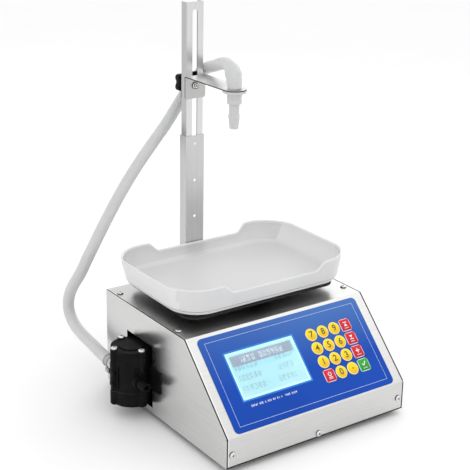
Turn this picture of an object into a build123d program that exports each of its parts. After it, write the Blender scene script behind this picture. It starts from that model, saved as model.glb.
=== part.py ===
from build123d import *
import math
import os

os.makedirs("parts", exist_ok=True)

# Driving dimensions, in mm. x, y and z in comments are measured from the housing:
# x from its middle, y from its front lip towards the back, z from its underside.
house_w = 300.0
house_d = 304.0
house_h = 142.0
lip_h = 42.0
slope_run = 100.0
sheet_t = 1.2
seam = 0.9
relief_r = 1.4
flange_w = 14.0
upstand_h = 12.0

foot_h = 9.0
foot_r = 11.0
foot_inset = 32.0
foot_plug_r = 4.0
foot_plug_h = 6.0
foot_taper = 4

screw_r = 2.0
screw_hole_gap = 0.2
screw_head_r = 4.6
screw_head_h = 2.4
screw_head_taper = 20
screw_reach = 6.0
screw_inset = 9.0
lip_screw_z = 18.0
mid_screw_z = 6.0
top_screw_front = slope_run + 27.0
top_screw_back = house_d - 24.0
back_screw_z = house_h - 20.0

# Control panel on the slope: u runs along x, v up the slope from the lip, w outwards.
overlay_w = 268.0
overlay_h = 134.0
overlay_v = 2.5
overlay_t = 1.0
overlay_corner = 7.0
lcd_w = 111.0
lcd_h = 66.0
lcd_u = -48.2
lcd_v = 74.5
lcd_glass_border = 0.8
lcd_module_border = 5.5
lcd_module_t = 8.0
window_gap = 0.1
key_size = 18.4
key_corner = 2.4
key_pitch_u = key_size + 1.8
key_pitch_v = key_size + 2.1
key_block_u = 68.3
key_block_v = 69.75
key_gap = 0.2
key_rise = 0.7
key_rim = 0.7
key_rim_t = 0.9
key_travel = 0.5
key_stem = 2.0
board_t = 1.6
board_rim = 3.0
keypad_border = key_size / 2 + 1.8

# Weighing tray, its platform and the load cell.
tray_y = house_d - 98.0
tray_rim_w = 297.0
tray_rim_d = 197.0
tray_rim_corner = 60.0
tray_base_w = 276.0
tray_base_d = 187.0
tray_base_corner = 44.0
tray_z = house_h + 19.0
tray_end_h = 38.0
tray_mid_h = 25.0
tray_mid_x = 5.0
tray_mid_w = 132.0
tray_step_w = 14.0
tray_wall = 2.4
tray_floor = 3.0
pad_r = 10.0
pad_h = 6.0
pad_dx = 85.0
pad_dy = 50.0
platform_w = 250.0
platform_d = 165.0
platform_t = 3.0
platform_corner = 20.0
neck_w = 30.0
neck_gap = 6.0
sink_gap = 0.7
cell_l = 130.0
cell_d = 30.0
cell_h = 22.0
cell_z = house_h - 50.0
cell_hole_r = 9.0
cell_hole_dx = 10.0
cell_base_l = 38.0
bolt_r = 3.0
bolt_head_r = 5.0
bolt_head_h = 5.0
bolt_dx = 20.0
bolt_reach = 12.0

# Post: a channel on the back of the housing, and a slotted channel nested in it.
post_w = 31.0
post_d = 16.0
post_t = 1.5
post_z0 = 14.0
post_z1 = 347.0
post_hole_r = 2.3
post_hole_top = 335.0
post_hole_pitch = 55.0
post_hole_count = 6
nest_gap = 0.05
strip_d = 13.0
strip_z0 = 40.0
strip_z1 = 537.5
slot_w = 8.4
slot_z0 = 205.0
slot_z1 = 527.0
post_screw_reach = 8.0

# Arm that carries the nozzle, clamped to the slot by a star knob behind the post.
arm_w = 34.0
arm_t = 1.5
arm_z = 434.5
arm_flange_h = 33.0
arm_bend_r = 2.0
arm_gap = 0.05
nozzle_y = tray_y + 2.0
clamp_z = 420.0
clamp_r = 2.5
clamp_head_r = 5.4
clamp_head_h = 3.6
clamp_tail = 1.5
guide_w = 7.6
guide_h = 4.0
guide_reach = 3.0
plate_w = post_w - 2 * post_t - 1.0
plate_h = 42.0
plate_t = 2.0
knob_r = 17.0
knob_hub_r = 8.0
knob_hub_l = 5.0
knob_l = 18.0
knob_lobes = 5
knob_phase = 36
knob_lobe_r = 6.0
knob_core_r = 12.2
fit_gap = 0.05

# Filling nozzle, from its tip up to the barb that the hose is pushed onto.
nozzle_bore_r = 4.0
nozzle_tip_r = 6.1
nozzle_bulge_r = 8.1
nozzle_stem_r = 7.2
nozzle_body_r = 10.2
nozzle_flange_r = 16.5
nozzle_neck_r = 8.0
barb_r = 7.2
barb_tip_r = 5.7
nozzle_tip_l = 17.0
nozzle_bulge_l = 3.0
nozzle_stem_l = 15.0
nozzle_body_l = 15.0
nozzle_flange_t = 4.0
barb_l = 8.0
barb_cone_l = 5.0

# Hose from the pump's rear port, round behind the post, to the nozzle.
hose_r = 8.5
hose_bore_r = 6.0
cuff_r = 10.8
cuff_gap = 0.3
cuff_l = 8.0
cuff_cone_l = 5.0
cuff_lap = 1.2
cuff_lip = 0.3
hose_grip = 24.0
hose_lead = 30.0
clamp_band_t = 0.8
clamp_band_w = 12.0
clamp_band_back = 8.0
worm_h = 8.0
worm_l = 14.0
worm_screw_r = 2.6
worm_corner = 1.0

# Pump: an upright round body standing half through a window in the left side.
pump_off = 13.0
pump_y = house_d - 91.0
pump_r = 28.5
pump_bolt_circle = 27.0
pump_boss_r = 5.8
pump_z0 = 12.5
pump_cover_h = 20.2
pump_cover_step = 0.8
pump_edge_r = 1.5
gasket_t = 0.8
pump_z1 = 90.0
cap_t = 4.0
cap_ring_r = 18.0
cap_ring_h = 1.2
pump_head_r = 4.9
pump_head_h = 4.4
pump_thread = 14.0
motor_cavity_r = 21.0
motor_floor_z = 66.0
stator_gap = 0.1
stator_bore_r = 12.0
stator_h = 17.0
rotor_r = 11.4
rotor_h = 16.0
rotor_lift = 1.5
shaft_r = 2.5
shaft_z0 = 20.0
shaft_z1 = 91.5
idler_z1 = 63.0
gear_teeth = 13
gear_module = 1.0
gear_addendum = 0.8
gear_dedendum = 1.15
gear_backlash = 0.2
pressure_angle = 25.0
gear_z1 = 57.6
gear_end_gap = 0.3
chamber_gap = 0.15
port_z = 51.0
port_r = 6.5
port_bore_r = 3.5
port_front_l = pump_r + 22.5
port_rear_l = pump_r + 28.5
port_barb_grip = 0.05
port_root_r = 9.0
port_root_l = max(pump_r, pump_bolt_circle + pump_boss_r) + 1.2
bracket_t = 2.5
bracket_z0 = 38.0
bracket_z1 = 70.0
bracket_reach = 56.0
bracket_band = 7.0
bracket_gap = 0.05
stud_r = 2.0
stud_l = 8.0
stud_y = 48.0
stud_z = 9.0
nut_r = 4.0
nut_t = 3.2
window_margin = 0.5
window_z0 = 8.0
window_z1 = 101.0

# Back panel fittings and the electronics inside.
inlet_x = 100.0
inlet_z = 70.0
inlet_flange_w = 50.0
inlet_flange_h = 32.0
inlet_flange_t = 2.5
inlet_body_w = 30.0
inlet_body_h = 23.0
inlet_body_d = 20.0
inlet_cavity_w = 25.0
inlet_cavity_h = 17.0
inlet_cavity_d = 16.0
inlet_pin_w = 2.0
inlet_pin_h = 4.0
inlet_pin_l = 12.0
inlet_pin_dx = 7.0
inlet_pin_dz = 3.0
switch_x = 52.0
switch_z = 70.0
switch_flange_w = 21.0
switch_flange_h = 30.0
switch_flange_t = 2.0
switch_body_w = 17.0
switch_body_h = 25.0
switch_body_d = 18.0
switch_well_w = 13.2
switch_well_h = 21.4
switch_well_d = 13.0
rocker_w = 12.6
rocker_h = 18.0
rocker_back = 5.0
rocker_proud = 3.0
rocker_tilt = 10.0
rocker_pin_r = 1.2
rocker_pin_d = 3.5
panel_gap = 0.1
pcb_x = 70.0
pcb_y = 90.0
pcb_w = 120.0
pcb_d = 80.0
pcb_z = 10.0
chip_w = 15.0
chip_d = 16.0
chip_h = 4.8
standoff_r = 3.5
standoff_inset = 6.0
psu_x = 76.0
psu_y = house_d - 74.0
psu_w = 110.0
psu_d = 75.0
psu_h = 34.0
vent_pitch = 11.0
vent_count = 8

# Where the housing stands in the part's frame: the whole part, without its hose, is
# centred over the origin, and its feet stand on z = 0.
pump_reach = pump_off + max(pump_r, pump_bolt_circle + pump_boss_r) + pump_cover_step
strip_back = post_t + strip_d
plate_back = strip_back + fit_gap + plate_t
rear_reach = plate_back + fit_gap + knob_l
left_x = -(house_w + pump_reach) / 2 + pump_reach
right_x = left_x + house_w
house_x = (left_x + right_x) / 2
front_y = -(screw_head_h + house_d + rear_reach) / 2 + screw_head_h
back_y = front_y + house_d
base_z = foot_h
top_z = base_z + house_h


def place(x, y, z):
    """A point given from the housing, in the part's frame."""
    return (house_x + x, front_y + y, base_z + z)


def level(z, x=0.0, y=0.0):
    """A level plane at a height above the housing's underside."""
    return Plane(origin=place(x, y, z), x_dir=(1, 0, 0), z_dir=(0, 0, 1))


def facing_front(y, x=0.0, z=0.0):
    """A plane that looks forwards, with its own x to the right and y up."""
    return Plane(origin=place(x, y, z), x_dir=(1, 0, 0), z_dir=(0, -1, 0))


def facing_back(y, x=0.0, z=0.0):
    """A plane that looks backwards, with its own x to the left and y up."""
    return Plane(origin=place(x, y, z), x_dir=(-1, 0, 0), z_dir=(0, 1, 0))


def save(name, built):
    """Label a finished piece and write it to its own file."""
    built.part.label = name
    export_step(built.part, f"parts/{name}.step")


# Housing: a pan with two sides, and one bent sheet for back, top, slope and lip.
case_outline = [
    (front_y, base_z),
    (front_y, base_z + lip_h),
    (front_y + slope_run, top_z),
    (back_y, top_z),
    (back_y, base_z),
]
slope_angle = math.atan2(house_h - lip_h, slope_run)
slope = Plane(
    origin=place(0, 0, lip_h),
    x_dir=(1, 0, 0),
    z_dir=(0, -math.sin(slope_angle), math.cos(slope_angle)),
)
side_screw_x = house_w / 2 - screw_inset
top_seats = [
    level(house_h, x, y)
    for x in (-side_screw_x, side_screw_x)
    for y in (top_screw_front, top_screw_back)
]
lip_seats = [
    facing_front(0, -side_screw_x, lip_screw_z),
    facing_front(0, 0, mid_screw_z),
    facing_front(0, side_screw_x, lip_screw_z),
]
back_seats = [
    facing_back(house_d, x, z)
    for x, z in (
        (-side_screw_x, lip_screw_z),
        (side_screw_x, lip_screw_z),
        (-side_screw_x, back_screw_z),
        (side_screw_x, back_screw_z),
    )
]
case_seats = top_seats + lip_seats + back_seats

pump_x = -house_w / 2 - pump_off
bracket_r = pump_r + bracket_gap + bracket_band
window_half = math.sqrt(bracket_r**2 - pump_off**2) + window_margin

# Centre, width and height of the opening behind the keys.
key_area = (
    key_block_u,
    key_block_v,
    3 * key_pitch_u + 2 * keypad_border,
    3 * key_pitch_v + 2 * keypad_border,
)

post_hole_zs = [post_hole_top - i * post_hole_pitch for i in range(post_hole_count)]
post_screw_zs = [z for z in post_hole_zs if z < house_h - screw_inset] + [post_hole_top]

foot_spots = [
    (x, y)
    for x in (-house_w / 2 + foot_inset, house_w / 2 - foot_inset)
    for y in (foot_inset, house_d - foot_inset)
]

with BuildPart() as base_pan:
    for side_x in (left_x, right_x - sheet_t):
        with BuildSketch(Plane.YZ.offset(side_x)):
            with BuildLine():
                Polyline(*case_outline, close=True)
            make_face()
            with Locations(case_outline[1]):
                Circle(relief_r, mode=Mode.SUBTRACT)
        extrude(amount=sheet_t)
    with BuildSketch(level(0, 0, house_d / 2)):
        Rectangle(house_w, house_d)
    extrude(amount=sheet_t)
    for flange_x in (left_x + sheet_t, right_x - sheet_t - flange_w):
        with BuildSketch(Plane.YZ.offset(flange_x)):
            with BuildLine():
                Polyline(*case_outline, close=True)
            make_face()
            offset(amount=-sheet_t, kind=Kind.INTERSECTION, mode=Mode.REPLACE)
            offset(amount=-sheet_t, kind=Kind.INTERSECTION, mode=Mode.SUBTRACT)
        extrude(amount=flange_w)
    for upstand_y in (sheet_t, house_d - 2 * sheet_t):
        with BuildSketch(level(0, 0, upstand_y + sheet_t / 2)):
            Rectangle(house_w - 2 * sheet_t, sheet_t)
        extrude(amount=upstand_h)
    with BuildSketch(Plane.YZ.offset(left_x - seam)):
        with Locations((front_y + pump_y, base_z + (window_z0 + window_z1) / 2)):
            Rectangle(2 * window_half, window_z1 - window_z0)
    extrude(amount=sheet_t + 2 * seam, mode=Mode.SUBTRACT)
    with BuildSketch(Plane.YZ.offset(left_x - seam)):
        for y in (pump_y - stud_y, pump_y + stud_y):
            for z in ((bracket_z0 + bracket_z1) / 2 - stud_z, (bracket_z0 + bracket_z1) / 2 + stud_z):
                with Locations((front_y + y, base_z + z)):
                    Circle(stud_r + screw_hole_gap)
    extrude(amount=sheet_t + 2 * seam, mode=Mode.SUBTRACT)
    for seat in case_seats:
        with BuildSketch(seat):
            Circle(screw_r)
        extrude(amount=-3 * sheet_t, mode=Mode.SUBTRACT)
    for x, y in foot_spots:
        with BuildSketch(level(0, x, y)):
            Circle(foot_plug_r)
        extrude(amount=sheet_t, mode=Mode.SUBTRACT)
save("base_pan", base_pan)

cover_w = house_w - 2 * sheet_t - 2 * seam
lcd_cut_margin = lcd_glass_border + window_gap
neck_x = cell_l / 2 - neck_w / 2 - (cell_base_l - neck_w) / 2
with BuildPart() as top_cover:
    with BuildSketch(Plane.YZ.offset(house_x - cover_w / 2)):
        with BuildLine():
            Polyline(*case_outline, close=True)
        make_face()
        offset(amount=-sheet_t, kind=Kind.INTERSECTION, mode=Mode.SUBTRACT)
        with Locations((front_y + house_d / 2, base_z)):
            Rectangle(house_d, 2 * (sheet_t + seam), mode=Mode.SUBTRACT)
    extrude(amount=cover_w)
    with BuildSketch(slope):
        with Locations((lcd_u, lcd_v)):
            Rectangle(lcd_w + 2 * lcd_cut_margin, lcd_h + 2 * lcd_cut_margin)
        with Locations(key_area[:2]):
            Rectangle(*key_area[2:])
    extrude(amount=-2 * sheet_t, mode=Mode.SUBTRACT)
    with BuildSketch(level(house_h, neck_x, tray_y)):
        RectangleRounded(neck_w + 2 * neck_gap, neck_w + 2 * neck_gap, neck_gap)
    extrude(amount=-2 * sheet_t, mode=Mode.SUBTRACT)
    for seat in case_seats:
        with BuildSketch(seat):
            Circle(screw_r + screw_hole_gap)
        extrude(amount=-2 * sheet_t, mode=Mode.SUBTRACT)
    for z in post_screw_zs[:-1]:
        with BuildSketch(facing_back(house_d, 0, z)):
            Circle(screw_r)
        extrude(amount=-2 * sheet_t, mode=Mode.SUBTRACT)
    with BuildSketch(facing_back(house_d, inlet_x, inlet_z)):
        Rectangle(inlet_body_w + 2 * panel_gap, inlet_body_h + 2 * panel_gap)
    extrude(amount=-2 * sheet_t, mode=Mode.SUBTRACT)
    with BuildSketch(facing_back(house_d, switch_x, switch_z)):
        Rectangle(switch_body_w + 2 * panel_gap, switch_body_h + 2 * panel_gap)
    extrude(amount=-2 * sheet_t, mode=Mode.SUBTRACT)
save("top_cover", top_cover)

with BuildPart() as cover_screws:
    for seat in case_seats:
        with BuildSketch(seat):
            Circle(screw_head_r)
        extrude(amount=screw_head_h, taper=screw_head_taper)
        with BuildSketch(seat):
            Circle(screw_r)
        extrude(amount=-screw_reach)
save("cover_screws", cover_screws)

with BuildPart() as rubber_feet:
    for x, y in foot_spots:
        with BuildSketch(level(0, x, y)):
            Circle(foot_r)
        extrude(amount=-foot_h, taper=foot_taper)
        with BuildSketch(level(0, x, y)):
            Circle(foot_plug_r)
        extrude(amount=foot_plug_h)
save("rubber_feet", rubber_feet)

# Control panel: overlay, display and sixteen keys over one switch board.
key_names = [
    ["7", "8", "9", "red_a"],
    ["4", "5", "6", "red_b"],
    ["1", "2", "3", "red_c"],
    ["red_d", "0", "dot", "green"],
]
key_spots = [
    (name, key_block_u + (column - 1.5) * key_pitch_u, key_block_v + (1.5 - row) * key_pitch_v)
    for row, names in enumerate(key_names)
    for column, name in enumerate(names)
]


def key_outline(name, growth):
    """The outline of a key, round for digits and square for commands, grown all round."""
    if name.startswith(("red", "green")):
        RectangleRounded(key_size + 2 * growth, key_size + 2 * growth, key_corner + growth)
    else:
        Circle(key_size / 2 + growth)


with BuildPart() as panel_overlay:
    with BuildSketch(slope):
        with Locations((0, overlay_v + overlay_h / 2)):
            RectangleRounded(overlay_w, overlay_h, overlay_corner)
        with Locations((lcd_u, lcd_v)):
            Rectangle(lcd_w + 2 * window_gap, lcd_h + 2 * window_gap, mode=Mode.SUBTRACT)
    extrude(amount=overlay_t)
    for name, u, v in key_spots:
        with BuildSketch(Plane(slope.from_local_coords((u, v, 0)), slope.x_dir, slope.z_dir)):
            key_outline(name, key_gap)
        extrude(amount=overlay_t, mode=Mode.SUBTRACT)
save("panel_overlay", panel_overlay)

with BuildPart() as display_window:
    with BuildSketch(slope):
        with Locations((lcd_u, lcd_v)):
            Rectangle(lcd_w, lcd_h)
    extrude(amount=overlay_t)
save("display_window", display_window)

with BuildPart() as lcd_glass:
    with BuildSketch(slope):
        with Locations((lcd_u, lcd_v)):
            Rectangle(lcd_w + 2 * lcd_glass_border, lcd_h + 2 * lcd_glass_border)
    extrude(amount=-sheet_t)
save("lcd_glass", lcd_glass)

with BuildPart() as lcd_module:
    with BuildSketch(slope.offset(-sheet_t)):
        with Locations((lcd_u, lcd_v)):
            Rectangle(lcd_w + 2 * lcd_module_border, lcd_h + 2 * lcd_module_border)
    extrude(amount=-lcd_module_t)
save("lcd_module", lcd_module)

keypad_depth = key_stem + key_travel + fit_gap
with BuildPart() as keypad_board:
    with BuildSketch(slope.offset(-sheet_t)):
        with Locations(key_area[:2]):
            Rectangle(key_area[2] + 2 * board_rim, key_area[3] + 2 * board_rim)
            Rectangle(*key_area[2:], mode=Mode.SUBTRACT)
    extrude(amount=sheet_t - keypad_depth - board_t)
    with BuildSketch(slope.offset(-keypad_depth)):
        with Locations(key_area[:2]):
            Rectangle(*key_area[2:])
    extrude(amount=-board_t)
save("keypad_board", keypad_board)

for name, u, v in key_spots:
    with BuildPart() as key:
        with BuildSketch(Plane(slope.from_local_coords((u, v, -key_stem)), slope.x_dir, slope.z_dir)):
            key_outline(name, 0)
        extrude(amount=key_stem + overlay_t + key_rise)
        fillet(key.faces().sort_by(Axis(slope.origin, slope.z_dir))[-1].edges(), key_rise)
        with BuildSketch(Plane(slope.from_local_coords((u, v, -fit_gap)), slope.x_dir, slope.z_dir)):
            key_outline(name, key_rim)
        extrude(amount=-key_rim_t)
    save(f"key_{name}", key)

# Weighing tray on its platform, over the load cell.
with BuildPart() as tray:
    with BuildSketch(level(tray_z, 0, tray_y)):
        RectangleRounded(tray_base_w, tray_base_d, tray_base_corner)
    with BuildSketch(level(tray_z + tray_end_h, 0, tray_y)):
        RectangleRounded(tray_rim_w, tray_rim_d, tray_rim_corner)
    loft()
    with BuildSketch(level(tray_z + tray_floor, 0, tray_y)):
        RectangleRounded(
            tray_base_w - 2 * tray_wall,
            tray_base_d - 2 * tray_wall,
            tray_base_corner - tray_wall,
        )
    with BuildSketch(level(tray_z + tray_end_h, 0, tray_y)):
        RectangleRounded(
            tray_rim_w - 2 * tray_wall,
            tray_rim_d - 2 * tray_wall,
            tray_rim_corner - tray_wall,
        )
    loft(mode=Mode.SUBTRACT)
    with BuildSketch(facing_front(tray_y, 0, tray_z)):
        with BuildLine():
            Polyline(
                (tray_mid_x - tray_mid_w / 2, tray_mid_h),
                (tray_mid_x + tray_mid_w / 2, tray_mid_h),
                (tray_mid_x + tray_mid_w / 2 + tray_step_w, tray_end_h),
                (tray_mid_x - tray_mid_w / 2 - tray_step_w, tray_end_h),
                close=True,
            )
        make_face()
    extrude(amount=tray_rim_d, both=True, mode=Mode.SUBTRACT)
save("tray", tray)

pad_z = tray_z - pad_h
platform_z = pad_z - platform_t
with BuildPart() as platform:
    with BuildSketch(level(platform_z, 0, tray_y)):
        RectangleRounded(platform_w, platform_d, platform_corner)
    extrude(amount=platform_t)
    with BuildSketch(level(platform_z, neck_x, tray_y)):
        Rectangle(neck_w, neck_w)
    extrude(amount=cell_z + cell_h + sink_gap - platform_z)
save("platform", platform)

with BuildPart() as tray_pads:
    with BuildSketch(level(pad_z, 0, tray_y)):
        with GridLocations(2 * pad_dx, 2 * pad_dy, 2, 2):
            Circle(pad_r)
    extrude(amount=pad_h)
save("tray_pads", tray_pads)

bolt_x = -cell_l / 2 + cell_base_l / 2
with BuildPart() as load_cell:
    with BuildSketch(level(cell_z, 0, tray_y)):
        Rectangle(cell_l, cell_d)
    extrude(amount=cell_h)
    with BuildSketch(facing_front(tray_y, 0, cell_z + cell_h / 2)):
        with Locations((-cell_hole_dx, 0), (cell_hole_dx, 0)):
            Circle(cell_hole_r)
        Rectangle(2 * cell_hole_dx, cell_hole_r)
    extrude(amount=cell_d, both=True, mode=Mode.SUBTRACT)
    with BuildSketch(level(cell_z, bolt_x, tray_y)):
        with GridLocations(bolt_dx, 0, 2, 1):
            Circle(bolt_r)
    extrude(amount=cell_h, mode=Mode.SUBTRACT)
save("load_cell", load_cell)

with BuildPart() as load_cell_base:
    with BuildSketch(level(sheet_t, bolt_x, tray_y)):
        Rectangle(cell_base_l, cell_d)
    extrude(amount=cell_z - sheet_t)
    with BuildSketch(level(cell_z, bolt_x, tray_y)):
        with GridLocations(bolt_dx, 0, 2, 1):
            Circle(bolt_r)
    extrude(amount=-bolt_reach, mode=Mode.SUBTRACT)
save("load_cell_base", load_cell_base)

with BuildPart() as load_cell_bolts:
    with BuildSketch(level(cell_z + cell_h, bolt_x, tray_y)):
        with GridLocations(bolt_dx, 0, 2, 1):
            Circle(bolt_head_r)
    extrude(amount=bolt_head_h)
    with BuildSketch(level(cell_z + cell_h, bolt_x, tray_y)):
        with GridLocations(bolt_dx, 0, 2, 1):
            Circle(bolt_r)
    extrude(amount=-cell_h - bolt_reach)
save("load_cell_bolts", load_cell_bolts)


def channel_outline(width, depth):
    """The section of a U channel that opens backwards, centred on its sketch."""
    Rectangle(width, depth)
    with Locations((0, post_t)):
        Rectangle(width - 2 * post_t, depth, mode=Mode.SUBTRACT)


strip_w = post_w - 2 * post_t - 2 * nest_gap
with BuildPart() as post_channel:
    with BuildSketch(level(post_z0, 0, house_d + post_d / 2)):
        channel_outline(post_w, post_d)
    extrude(amount=post_z1 - post_z0)
    for z in post_hole_zs:
        with BuildSketch(facing_back(house_d, 0, z)):
            Circle(screw_r if z in post_screw_zs else post_hole_r)
        extrude(amount=post_t, mode=Mode.SUBTRACT)
save("post_channel", post_channel)

with BuildPart() as slotted_strip:
    with BuildSketch(level(strip_z0, 0, house_d + post_t + strip_d / 2)):
        channel_outline(strip_w, strip_d)
    extrude(amount=strip_z1 - strip_z0)
    with BuildSketch(facing_back(house_d + post_t, 0, (slot_z0 + slot_z1) / 2)):
        SlotOverall(slot_z1 - slot_z0, slot_w, rotation=90)
    extrude(amount=post_t, mode=Mode.SUBTRACT)
    for z in post_screw_zs[:-1]:
        with BuildSketch(facing_back(house_d + post_t, 0, z)):
            Circle(screw_r)
        extrude(amount=post_t, mode=Mode.SUBTRACT)
save("slotted_strip", slotted_strip)

with BuildPart() as post_screws:
    for z in post_screw_zs:
        reach = 2 * post_t if z == post_hole_top else post_screw_reach
        with BuildSketch(facing_back(house_d + 2 * post_t, 0, z)):
            Circle(clamp_head_r)
        extrude(amount=screw_head_h)
        with BuildSketch(facing_back(house_d + 2 * post_t, 0, z)):
            Circle(screw_r)
        extrude(amount=-reach)
save("post_screws", post_screws)

# Nozzle arm: a bent strip, screwed through the slot and clamped by the knob behind.
arm_front = house_d + post_t - arm_gap - arm_t
with BuildPart() as nozzle_arm:
    with BuildSketch(level(arm_z, 0, (nozzle_y + arm_front + arm_t) / 2)):
        Rectangle(arm_w, arm_front + arm_t - nozzle_y)
    extrude(amount=-arm_t)
    with BuildSketch(level(arm_z, 0, nozzle_y)):
        Circle(arm_w / 2)
    extrude(amount=-arm_t)
    with BuildSketch(facing_front(arm_front, 0, arm_z - arm_flange_h / 2)):
        Rectangle(arm_w, arm_flange_h)
    extrude(amount=-arm_t)
    outer_bend = nozzle_arm.edges().filter_by(Axis.X).group_by(Axis.Y)[-1].sort_by(Axis.Z)[-1]
    fillet(outer_bend, arm_bend_r)
    flange_corners = nozzle_arm.edges().filter_by(Axis.Y).group_by(Axis.Z)[0]
    fillet(flange_corners, 2 * arm_bend_r)
    with BuildSketch(level(arm_z, 0, nozzle_y)):
        Circle(nozzle_neck_r)
    extrude(amount=-arm_t, mode=Mode.SUBTRACT)
    with BuildSketch(facing_front(arm_front, 0, clamp_z)):
        Circle(clamp_r)
    extrude(amount=-arm_t, mode=Mode.SUBTRACT)
    with BuildSketch(facing_back(arm_front, 0, arm_z - arm_flange_h + guide_h / 2)):
        Rectangle(guide_w, guide_h)
    extrude(amount=guide_reach)
save("nozzle_arm", nozzle_arm)

with BuildPart() as clamp_screw:
    with BuildSketch(facing_front(arm_front, 0, clamp_z)):
        Circle(clamp_head_r)
    extrude(amount=clamp_head_h)
    fillet(clamp_screw.faces().sort_by(Axis.Y)[0].edges(), clamp_head_h / 3)
    with BuildSketch(facing_back(arm_front, 0, clamp_z)):
        Circle(clamp_r)
    extrude(amount=house_d + rear_reach - arm_front - clamp_tail)
save("clamp_screw", clamp_screw)

with BuildPart() as clamp_plate:
    with BuildSketch(facing_back(house_d + strip_back + fit_gap, 0, clamp_z)):
        RectangleRounded(plate_w, plate_h, plate_t)
        Circle(clamp_r, mode=Mode.SUBTRACT)
    extrude(amount=plate_t)
save("clamp_plate", clamp_plate)

knob_y = house_d + plate_back + fit_gap
with BuildPart() as clamp_knob:
    with BuildSketch(facing_back(knob_y, 0, clamp_z)):
        Circle(knob_hub_r)
    extrude(amount=knob_hub_l)
    with BuildSketch(facing_back(knob_y + knob_hub_l, 0, clamp_z)):
        Circle(knob_core_r)
        with PolarLocations(knob_r - knob_lobe_r, knob_lobes, start_angle=knob_phase):
            Circle(knob_lobe_r)
    extrude(amount=knob_l - knob_hub_l)
    with BuildSketch(facing_back(knob_y, 0, clamp_z)):
        Circle(clamp_r + fit_gap)
    extrude(amount=knob_l, mode=Mode.SUBTRACT)
save("clamp_knob", clamp_knob)

# Nozzle: a turned plastic outlet under the arm, with a hose barb above it.
nozzle_top = arm_z - arm_t
nozzle_profile = [
    (nozzle_flange_r, 0),
    (nozzle_flange_r, -nozzle_flange_t),
    (nozzle_body_r, -nozzle_flange_t),
    (nozzle_body_r, -nozzle_flange_t - nozzle_body_l),
    (nozzle_stem_r, -nozzle_flange_t - nozzle_body_l),
    (nozzle_stem_r, -nozzle_flange_t - nozzle_body_l - nozzle_stem_l),
    (nozzle_bulge_r, -nozzle_flange_t - nozzle_body_l - nozzle_stem_l - nozzle_bulge_l),
    (nozzle_tip_r, -nozzle_flange_t - nozzle_body_l - nozzle_stem_l - nozzle_bulge_l - nozzle_tip_l),
]
nozzle_l = -nozzle_profile[-1][1]
with BuildPart() as nozzle:
    with BuildSketch(Plane(origin=place(0, nozzle_y, nozzle_top), x_dir=(1, 0, 0), z_dir=(0, -1, 0))):
        with BuildLine():
            Polyline(
                (nozzle_bore_r, -nozzle_l),
                (nozzle_bore_r, arm_t + barb_l + barb_cone_l),
                (barb_tip_r, arm_t + barb_l + barb_cone_l),
                (barb_r, arm_t + barb_l),
                (barb_r, arm_t),
                (nozzle_neck_r, arm_t),
                (nozzle_neck_r, 0),
                *nozzle_profile,
                close=True,
            )
        make_face()
    revolve(axis=Axis(place(0, nozzle_y, nozzle_top), (0, 0, 1)))
save("nozzle", nozzle)

# Hose: one length of soft tube. The points run from the pump's rear port to the nozzle.
port_x = pump_x - gear_teeth * gear_module / 2
port_rear = pump_y + port_rear_l
hose_start = port_rear - hose_grip
clamp_band_y = port_rear - clamp_band_back
hose_points = [
    (port_x, hose_start, port_z),
    (port_x, hose_start + hose_lead, port_z),
    (port_x - 0.5, 308, 57),
    (port_x - 0.5, 340, 61),
    (port_x - 1.5, 366, 69),
    (port_x - 2, 382, 86),
    (port_x - 1.5, 381, 109),
    (port_x + 1, 368, 132),
    (port_x + 6, 355, 152),
    (-153, 347, 182),
    (-119, 344, 241),
    (-86, 346, 286),
    (-51, 346, 327),
    (-20, 352, 354),
    (6, 358, 381),
    (22, 355, 405),
    (29, 338, 428),
    (26, 312, 442),
    (18, 282, 450),
    (7, 250, 461),
    (2, 224, 466.5),
    (0, nozzle_y, 456),
    (0, nozzle_y, arm_z + cuff_gap),
]
hose_points = [Vector(*place(*point)) for point in hose_points]
hose_runs = [(b - a) for a, b in zip(hose_points, hose_points[1:])]
hose_radii = [
    0.45 * min(a.length, b.length) / math.tan(math.radians(a.get_angle(b)) / 2)
    for a, b in zip(hose_runs, hose_runs[1:])
]
hose_foot = arm_z + cuff_gap
with BuildPart() as hose:
    with BuildLine() as hose_line:
        FilletPolyline(*hose_points, radius=hose_radii)
    with BuildSketch(Plane(origin=hose_points[0], z_dir=hose_runs[0])):
        Circle(hose_r)
        Circle(hose_bore_r, mode=Mode.SUBTRACT)
    sweep()
    with BuildSketch(Plane(origin=place(0, nozzle_y, hose_foot), x_dir=(1, 0, 0), z_dir=(0, -1, 0))):
        with BuildLine():
            Polyline(
                (hose_r - cuff_lap, 0),
                (cuff_r, 0),
                (cuff_r, cuff_l),
                (hose_r + cuff_lip, cuff_l + cuff_cone_l),
                (hose_r - cuff_lap, cuff_l + cuff_cone_l),
                close=True,
            )
        make_face()
    revolve(axis=Axis(place(0, nozzle_y, hose_foot), (0, 0, 1)))
    with BuildSketch(Plane(origin=place(0, nozzle_y, hose_foot), x_dir=(1, 0, 0), z_dir=(0, -1, 0))):
        with BuildLine():
            Polyline(
                (0, 0),
                (barb_r + cuff_gap, 0),
                (barb_r + cuff_gap, cuff_l),
                (hose_bore_r - cuff_lip, cuff_l + cuff_cone_l),
                (0, cuff_l + cuff_cone_l),
                close=True,
            )
        make_face()
    revolve(axis=Axis(place(0, nozzle_y, hose_foot), (0, 0, 1)), mode=Mode.SUBTRACT)
save("hose", hose)

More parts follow.
